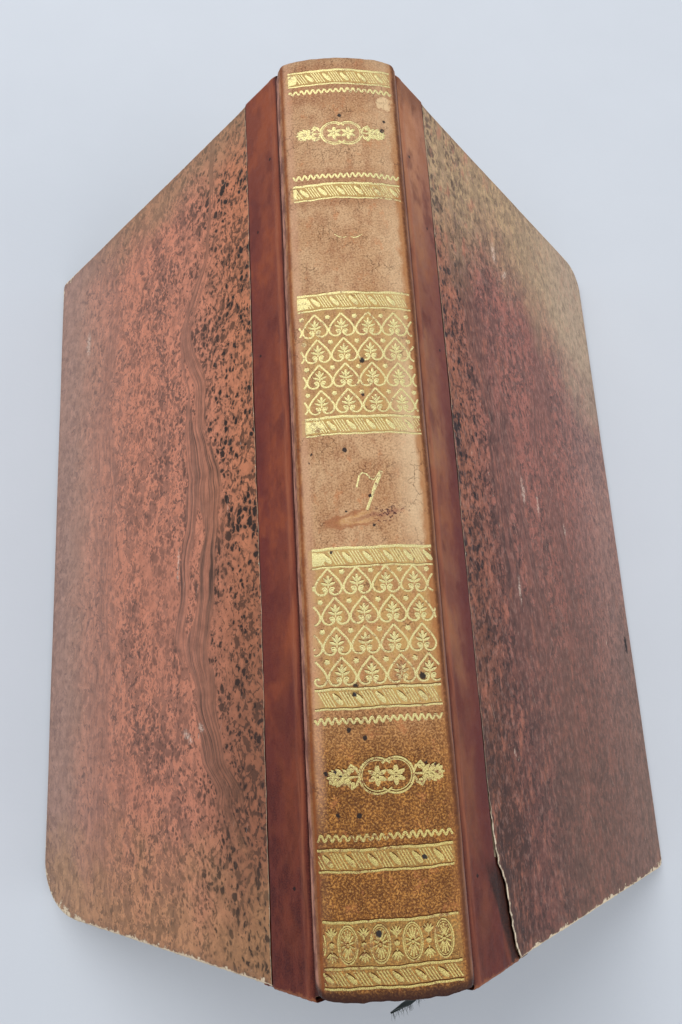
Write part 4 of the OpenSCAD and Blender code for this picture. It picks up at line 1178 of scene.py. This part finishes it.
def wrapped(name, side, umin, umax, Y, n_u, n_y, z_top, z_low, r, body, mat, zfun, wearfun, fore=True, turn=9.0,
            jitter=0.25, seed=0):
    """Sheet on the outside of a cover, folded over its edges. umin and umax give its two sides by y."""
    ys = row_heights(Y, n_y)
    a = np.linspace(0, 1, n_u)
    lo = np.array([umin(v) for v in ys])
    hi = np.array([umax(v) for v in ys])
    U = lo[:, None] + (hi - lo)[:, None] * a[None, :]
    V = np.broadcast_to(ys[:, None], U.shape)
    main = np.stack([U.ravel(), V.ravel()], 1)
    idx = np.arange(len(main)).reshape(U.shape)
    # corners along the edges that are folded over
    loop = list(idx[0, :])
    if fore:
        loop += list(idx[1:, -1])
        loop += list(idx[-1, :-1][::-1])
    verts = [np.stack([U.ravel(), V.ravel(), zfun(U, V).ravel()], 1)]
    faces = grid_faces(len(ys), n_u, flip=side < 0)
    loops = [loop] if fore else [loop, list(idx[-1, ::-1])]
    outer = []
    for lp in loops:
        P = main[lp]
        t = np.gradient(P, axis=0)
        t /= np.linalg.norm(t, axis=1)[:, None] + 1e-9
        nrm = np.stack([t[:, 1], -t[:, 0]], 1)
        for _ in range(2):
            nrm[1:-1] = (nrm[:-2] + nrm[1:-1] * 2 + nrm[2:])
            nrm /= np.linalg.norm(nrm, axis=1)[:, None]
        if not fore:
            nrm[:] = (0, -1 if lp is loop else 1)
        else:
            # start and end of the loop lie on straight edges
            nrm[0] = (0, -1)
            nrm[-1] = (0, 1)
        z0 = verts[0][lp, 2]
        out = P + nrm * r
        outer.append(out)
        jit = 0.5 * wob(P[:, 0], P[:, 1], 3.1, seed + 5) + 0.5 * wob(P[:, 0], P[:, 1], 1.3, seed + 6)
        w = wearfun(P[:, 0], P[:, 1])
        prof = [(math.sin(q) * r, -(1 - math.cos(q)) * r) for q in (0.4, 0.8, 1.2, math.pi / 2)]
        depth = z_low - z_top
        prof += [(r, depth * 0.6), (r, depth + 0.45), (r - 0.2, depth + 0.05)]
        rings = []
        for i, (o, dz) in enumerate(prof):
            j = -np.abs(jit) * jitter * w * (1.0 if i >= 2 else 0.35 * i)
            Q = P + nrm * (o + j)[:, None]
            low = min(1, -dz / 1.2)
            zz = z0 * (1 - low) + z_top * low + dz if i < 4 else np.full(len(P), z_top + dz)
            rings.append(np.stack([Q[:, 0], Q[:, 1], zz], 1))
        # turned in on the inside, mitred by clamping
        for tin in (2.0, turn):
            yy = np.clip(out[:, 1], -Y - r + tin, Y + r - tin)
            uu = np.minimum(out[:, 0], (CORE_W + PAPER - tin) if fore else 1e9)
            rings.append(np.stack([uu, yy, np.full(len(P), z_low)], 1))
        base = sum(len(v) for v in verts)
        prev = np.array(lp)
        for rg in rings:
            cur = np.arange(len(lp)) + base
            base += len(lp)
            verts.append(rg)
            for i in range(len(lp) - 1):
                q = (prev[i], cur[i], cur[i + 1], prev[i + 1])
                faces.append(q[::-1] if side > 0 else q)
            prev = cur
    V3 = np.vstack(verts)
    n0 = len(main)
    rim = near(V3[:, :2], np.vstack(outer)) if fore else Y + r - np.abs(V3[:, 1])
    rim[n0:] = np.clip((z_top - V3[n0:, 2]) * 0.9, 0, 2.6) - 0.12
    wear = wearfun(V3[:, 0], V3[:, 1])
    lapd = V3[:, 0] - np.interp(V3[:, 1], ys, lo)
    P3 = cover_xyz(side, *V3.T)
    return make(name, P3, faces, mat, body, {"co": V3, "rim": rim, "wear": wear, "lap": lapd})


def paper_cover(side):
    """Marbled paper of one cover, worn and torn at its edges."""
    front = side > 0
    rx_t, ry_t = (4.0, 2.5) if front else (22.0, 15.0)
    rx_h, ry_h = (11.0, 9.0) if front else (2.0, 2.0)
    r = 0.8
    Y = CORE_H + PAPER - r
    W = CORE_W + PAPER - r

    def umax(y):
        u = W
        if y < -Y + ry_t - r:
            k = min(1.0, (-Y + ry_t - r - y) / (ry_t - r))
            u = W - (rx_t - r) * (1 - math.sqrt(max(0, 1 - k * k)))
        if y > Y - ry_h + r:
            k = min(1.0, (y - (Y - ry_h + r)) / (ry_h - r))
            u = W - (rx_h - r) * (1 - math.sqrt(max(0, 1 - k * k)))
        return u

    tear_y = [-107.6, -104.8, -100.6, -95.0, -90.5, -87.0, -84.0, -80.0, -72.0]
    tear_u = [21.5, 19.2, 18.2, 17.3, 16.6, 14.6, 14.3, 13.9, 13.8]

    def umin(y):
        u = STRIP + 0.22 * math.sin(y * 0.05) + 0.10 * math.sin(y * 0.31 + 1.0) + 0.07 * math.sin(y * 1.3)
        if front and y < -72:
            u = float(np.interp(y, tear_y, tear_u)) + 0.22 * math.sin(y * 1.9) + 0.12 * math.sin(y * 4.3)
        return u

    def z(u, y):
        base = -0.30 + 0.24 * np.exp(-np.clip(u - 13.3, 0, 9) / 1.6)
        base = base + 0.05 * wob(u, y, 38, 11 if front else 12)
        if front:
            # the torn edge has sprung up from the board
            lo = np.interp(y, tear_y, tear_u)
            d = np.clip(u - lo, 0, 99)
            k = np.clip((-82 - y) / 8, 0, 1) * np.clip(1 - d / 8.0, 0, 1) ** 2
            base = base + 0.5 * k
        return base

    def wear(u, y):
        w = 0.16 + 0.55 * np.clip((-100 - y) / 6, 0, 1)
        w = w + 0.20 * np.clip((y - 101) / 6, 0, 1)
        w = w + 0.9 * np.exp(-((u - 118) ** 2 + (y + 100) ** 2) / (90 if front else 260))
        w = w + 0.5 * np.exp(-((u - 124) ** 2 + (y - 103) ** 2) / 90)
        return w

    name = "front" if front else "back"
    ob = wrapped(name + "_marbled", side, umin, umax, Y, 110, 225, -0.30, -CORE_LOW - PAPER, r,
                 name + "_cover", marbled("marbled_" + name, front), z, wear, jitter=0.9,
                 seed=3 if front else 4)
    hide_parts(name + "_marbled_paper")


def leather_side(side):
    """Leather strip of one cover, beside the crease."""
    front = side > 0
    r = 0.8
    Y = BH / 2 - r

    def umax(y):
        if front and y < -70:
            return float(np.interp(-y, [70, 84, 92, 107.5], [17.0, 18.0, 21.0, 26.0]))
        return 17.0

    def z(u, y):
        drop = np.full(np.shape(u), 0.62)
        if front:
            # bare leather beside the torn paper
            lo = np.interp(y, [-107.6, -104.8, -100.6, -95.0, -90.5, -87.0, -84.0],
                           [21.5, 19.2, 18.2, 17.3, 16.6, 14.6, 13.0])
            drop = 0.62 - 0.34 * np.clip((lo + 0.6 - u) / 0.6, 0, 1) * np.clip((-82 - y) / 3, 0, 1)
        base = -drop * np.clip((u - 12.9) / 1.3, 0, 1)
        base = base + 0.05 * wob(u, y, 38, 11 if front else 12)
        base = base - 0.42 * np.exp(-np.clip(u, 0, 9) / 0.5)
        base = base + 0.12 * np.exp(-((u - 1.9) / 0.8) ** 2)
        return np.minimum(base, 0.14)

    name = "front" if front else "back"
    ob = wrapped(name + "_leather_strip", side, lambda y: 0.12, umax, Y, 46, 230, 0.0, -CORE_LOW - PAPER, r,
                 name + "_cover", side_mats[side], z, lambda u, y: 0.5 + 0.0 * u, fore=False, jitter=0.5,
                 seed=8 if front else 9)
    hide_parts(name + "_leather_side")


def hinge_leather(side):
    """Thin leather under the crease that joins spine and cover at every angle."""
    ys = np.linspace(-105.6, 105.6, 60)
    pts = []
    for d in (2.0, 1.3, 0.7):
        q = spine_xyz(np.array(L_ALL - d), np.array(0.0), np.array(-0.45))
        pts.append((float(q[0]), float(q[2])))
    pts += [(CX - 0.42, H + 0.12), (CX - 0.22, H - 0.28)]
    for u in (0.6, 1.0, 1.5):
        pts.append((CX + u * ST - 0.42 * CT, H - u * CT - 0.42 * ST))
    P = np.array([[(side * x, y * (1 + 0.012 * i / len(pts)), z) for y in ys] for i, (x, z) in enumerate(pts)])
    co = np.zeros(P.shape)
    co[..., 1] = P[..., 1]
    name = ("front" if side > 0 else "back") + "_hinge_leather"
    ob = make(name, P, grid_faces(len(pts), len(ys), flip=side > 0), side_mats[side], None,
              {"co": co, "rim": np.full(P.shape[0] * P.shape[1], 20.0)})
    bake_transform(ob)


for side in (1, -1):
    paper_cover(side)
    leather_side(side)
    hinge_leather(side)

# ---------------------------------------------------------------- leaves
LEAF_OFF = COVER_T + 0.3  # outer leaf under the cover's outside
FOOT_U = (H - LEAF_OFF * ST) / CT
FOOT_X = CX + FOOT_U * ST - LEAF_OFF * CT
SWEEP = math.hypot(1.5, COVER_T) + 0.3
CD = math.hypot(CX, H - AZ)
BACK_ARC = min(FA, math.atan2(CX, H - AZ)
               - math.acos((CD ** 2 + BACK_R ** 2 - (SWEEP + 0.25) ** 2) / (2 * CD * BACK_R)))
GUT = AZ + BACK_R - 3.4  # height of the gutter in the middle


def leaf_curve(j, t):
    """Section of a leaf: j runs from the middle of the book to the cover, t from back to edge."""
    root = np.array([BACK_R * math.sin(BACK_ARC * j), AZ + BACK_R * math.cos(BACK_ARC * j)])
    gut = np.array([0, GUT])
    line = np.array([CX + 2 * ST - LEAF_OFF * CT, H - 2 * CT - LEAF_OFF * ST])
    k = min(1, j * 4)
    p0 = (root * k + gut * (1 - k)) * (1 - j ** 3) + line * j ** 3
    a0 = math.radians(6) + (TH - math.radians(6)) * j
    p1 = p0 + H * 0.4 * np.array([math.sin(a0), -math.cos(a0)])
    p3 = np.array([FOOT_X * (0.74 + 0.26 * j), 0])
    a3 = math.radians(50) + (TH - math.radians(50)) * j
    p2 = p3 - H * 0.4 * np.array([math.sin(a3), -math.cos(a3)])
    t = np.asarray(t)[:, None]
    return (1 - t) ** 3 * p0 + 3 * t * (1 - t) ** 2 * p1 + 3 * t * t * (1 - t) * p2 + t ** 3 * p3


def leaves():
    """Separate leaves in gatherings, each with two faces and cut edges."""
    per, gatherings = 8, 11
    n = gatherings * per
    nt, ny = 22, 7
    ts = np.linspace(0.0, 1.0, nt)
    V, Fs, C = [], [], []
    base = 0
    for side in (-1, 1):
        for k in range(n):
            g, i = divmod(k, per)
            # leaves lie close within a gathering, with a small gap between gatherings
            j = (g + 0.06 + 0.88 * (i + 0.5) / per) / gatherings
            c = leaf_curve(j, ts)
            d = np.gradient(c, axis=0)
            d /= np.linalg.norm(d, axis=1)[:, None]
            nr = np.stack([-d[:, 1], d[:, 0]], 1)
            top = LEAF_H - abs(rng.normal(0, 0.16))
            low = LEAF_H - abs(rng.normal(0, 0.16))
            ys = np.linspace(-low, top, ny)
            bow = 0.05 * rng.normal()
            th = 0.055
            for o in (-th, th):
                w = bow * np.sin(ts * math.pi) + 0.03 * rng.normal() * np.sin(ts * 2 * math.pi)
                q = c + nr * (o + w)[:, None]
                q[:, 1] = np.maximum(q[:, 1], 0.0)
                P = np.empty((nt, ny, 3))
                P[..., 0] = side * q[:, None, 0]
                P[..., 1] = ys[None, :]
                P[..., 2] = q[:, None, 1]
                V.append(P.reshape(-1, 3))
                cc = np.empty((nt, ny, 3))
                cc[..., 0] = k * 3.1 + (side + 1) * 400
                cc[..., 1] = ys[None, :]
                cc[..., 2] = ts[:, None]
                C.append(cc.reshape(-1, 3))
            Fs += grid_faces(nt, ny, base, flip=side > 0) + grid_faces(nt, ny, base + nt * ny, flip=side < 0)
            m = nt * ny
            ring = edge_ring(nt, ny)
            for a, b in zip(ring, ring[1:] + ring[:1]):
                Fs.append((base + a, base + b, base + m + b, base + m + a) if side < 0
                          else (base + a, base + m + a, base + m + b, base + b))
            base += 2 * m
    ob = make("leaves", np.vstack(V), Fs, page_material("old_paper"), "block", {"co": np.vstack(C)},
              smooth=False)
    # smooth faces, but sharp cut edges
    ring_n = 2 * (nt + ny) - 4
    flat_n = 2 * (nt - 1) * (ny - 1)
    soft = np.tile(np.array([True] * flat_n + [False] * ring_n), len(Fs) // (flat_n + ring_n))
    ob.data.polygons.foreach_set("use_smooth", soft)
    return ob


leaf_ob = leaves()


def backs():
    """Rounded glued back that the leaves are sewn to."""
    a = np.linspace(-BACK_ARC, BACK_ARC, 90)
    ys = np.linspace(-LEAF_H + 0.1, LEAF_H - 0.1, 60)
    V, Fs = [], []
    base = 0
    for r0, flip in ((BACK_R - 0.05, True), (BACK_R - 1.6, False)):
        A, Yv = np.meshgrid(a, ys, indexing="ij")
        rr = r0 - 0.12 * (np.abs(np.sin(A / BACK_ARC * 11 * math.pi)) < 0.25)
        V.append(np.stack([rr * np.sin(A), Yv, AZ + rr * np.cos(A)], -1).reshape(-1, 3))
        Fs += grid_faces(len(a), len(ys), base, flip=flip)
        base += len(a) * len(ys)
    m = len(a) * len(ys)
    ring = edge_ring(len(a), len(ys))
    for p, q in zip(ring, ring[1:] + ring[:1]):
        Fs.append((p, q, m + q, m + p))
    VV = np.vstack(V)
    co = np.stack([VV[:, 0] * 3, VV[:, 1], np.full(len(VV), 0.02)], 1)
    make("glued_back", VV, Fs, bpy.data.materials["old_paper"], "block", {"co": co})


backs()
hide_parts("text_block")


# ---------------------------------------------------------------- head and tail bands
def bands():
    """Silk rolls at head and tail of the leaves."""
    M = Mat("band_silk", Roughness=0.5, Specular_IOR_Level=0.4, Sheen_Weight=0.3)
    co = M.vec()
    x, _, _ = M.sep(co)
    w = M.step(M.math("FRACT", x * 0.4), 0.46, 0.54)
    col = M.mix(w, lin(70, 92, 112), lin(206, 188, 146))
    col = M.mix(M.noise(co, 1.5, 3, 0.6) * 0.5, col, lin(120, 96, 66))
    M.shade(Base_Color=col, Normal=M.bump(M.math("FRACT", x * 2.4), 0.00012, 0.8))
    arcw = BACK_ARC - math.radians(0.5)
    for s, name in ((1, "head"), (-1, "tail")):
        a = np.linspace(-arcw, arcw, 190)
        ph = np.linspace(0, 2 * math.pi, 15)
        A, Pq = np.meshgrid(a, ph, indexing="ij")
        along = A * (BACK_R - 0.8)
        rr = 0.68 + 0.07 * np.abs(np.sin(along * 2.4 * math.pi + Pq * 0.4))
        rad = BACK_R - 0.8 + rr * np.cos(Pq)
        P = np.stack([rad * np.sin(A), s * (LEAF_H + 0.75 + rr * np.sin(Pq)), AZ + rad * np.cos(A)], -1)
        C = np.stack([along + 0.15 * Pq, Pq, A * 0], -1)
        ob = make(name + "_band_silk", P, grid_faces(len(a), len(ph), flip=s < 0), M.m, "block", {"co": C})
        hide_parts(name + "_band")


bands()


# ---------------------------------------------------------------- ribbon
def ribbon():
    """Silk ribbon in the opening, with a frayed end."""
    M = Mat("ribbon_silk", Roughness=0.45, Sheen_Weight=0.4, Specular_IOR_Level=0.4)
    co = M.vec()
    n = M.noise(M.map(co, (6, 0.5, 1)), 1.0, 3, 0.6)
    M.shade(Base_Color=M.mix(n, lin(14, 22, 22), lin(34, 50, 44)),
            Normal=M.bump(M.noise(M.map(co, (9, 3, 1)), 1.0, 2, 0.5), 0.0001, 0.6))
    down = (0.11, 0.0, -0.99)
    # centre (z from the gutter), direction across and half width
    keys = [((1.05, 100.0, -9.5), down, 2.5), ((1.05, 0.0, -9.5), down, 2.5), ((1.05, -100.0, -9.5), down, 2.5),
            ((1.5, -103.0, -8.8), (0.5, -0.1, -0.85), 2.3), ((3.2, -105.2, -7.2), (0.75, -0.3, -0.50), 1.7),
            ((4.9, -106.9, -6.2), (0.80, -0.45, -0.3), 1.25), ((4.6, -108.5, -6.2), (0.62, -0.60, -0.2), 0.95),
            ((2.9, -109.9, -6.7), (0.45, -0.75, -0.1), 0.70), ((1.0, -111.0, -7.3), (0.40, -0.75, 0.0), 0.45),
            ((-0.7, -111.9, -7.8), (0.35, -0.6, 0.0), 0.22)]
    C = np.array([(x, y, GUT + z) for (x, y, z), _, _ in keys])
    Wd = np.array([np.array(across) * half for _, across, half in keys])
    pos, wid = [], []
    for i in range(len(keys) - 1):
        n = 3 if i < 2 else 6
        for q in range(n):
            t = q / n
            t = t * t * (3 - 2 * t) if i >= 2 else t
            pos.append(C[i] * (1 - t) + C[i + 1] * t)
            wid.append(Wd[i] * (1 - t) + Wd[i + 1] * t)
    pos.append(C[-1])
    wid.append(Wd[-1])
    pos, wid = np.array(pos), np.array(wid)
    m = 9
    V, Cc = [], []
    for o in (0.05, -0.05):
        for i in range(len(pos)):
            d = pos[min(i + 1, len(pos) - 1)] - pos[max(i - 1, 0)]
            nr = np.cross(d, wid[i])
            nr /= np.linalg.norm(nr) + 1e-9
            for k in range(m):
                q = -1 + 2 * k / (m - 1)
                V.append(pos[i] + wid[i] * q + nr * (o + 0.10 * math.sin(q * 3 + i * 0.5)))
                Cc.append((q * 2.5, i * 1.0, 0))
    n0 = len(pos) * m
    Fs = grid_faces(len(pos), m) + grid_faces(len(pos), m, n0, flip=True)
    for i in range(len(pos) - 1):
        for k in (0, m - 1):
            Fs.append((i * m + k, (i + 1) * m + k, n0 + (i + 1) * m + k, n0 + i * m + k))
    # frayed threads on the lower side of the end
    for q in range(46):
        i = len(pos) - 1 - int(rng.integers(0, 22))
        st = pos[i] + wid[i] * (0.55 + 0.45 * rng.random())
        dr = np.array([0.10 + 0.25 * rng.normal(), -1.0, 0.18 * rng.normal()])
        ln = 0.7 + 0.9 * rng.random()
        b = len(V)
        for k in range(4):
            p = st + dr * ln * k / 3 + np.array([0.10 * math.sin(k + q), 0, 0.05 * math.cos(k * 2 + q)])
            w = 0.035 * (1 - k / 4)
            V += [p + (-w, 0, 0.0), p + (w, 0, 0.01)]
            Cc += [(q, k, 0)] * 2
        for k in range(3):
            Fs.append((b + 2 * k, b + 2 * k + 1, b + 2 * k + 3, b + 2 * k + 2))
    ob = make("ribbon", np.array(V), Fs, M.m, "block", {"co": np.array(Cc, float)})
    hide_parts("ribbon_marker")


ribbon()

# ---------------------------------------------------------------- CAD pieces that stay
endp = plain_paper("end_paper", lin(230, 212, 180), lin(219, 198, 163), turned_in=True)
board = plain_paper("paste_board", lin(206, 190, 156), lin(176, 156, 120), 120.0)
liner = plain_paper("liner_paper", lin(196, 176, 138), lin(170, 148, 108), 90.0)
hemp = thread_material("hemp_cord", lin(190, 168, 124), lin(140, 116, 78), 900.0)
stays = ((endp, ("front_pastedown", "back_pastedown")), (board, ("front_board", "back_board")),
         (liner, ("spine_liner",)),
         (hemp, ("front_cord_slips", "back_cord_slips", *(f"sewing_cord_{i}" for i in range(1, 6)))))
for m, names in stays:
    for n in names:
        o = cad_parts[n]
        o.data.materials.clear()
        o.data.materials.append(m)

bpy.context.view_layer.update()
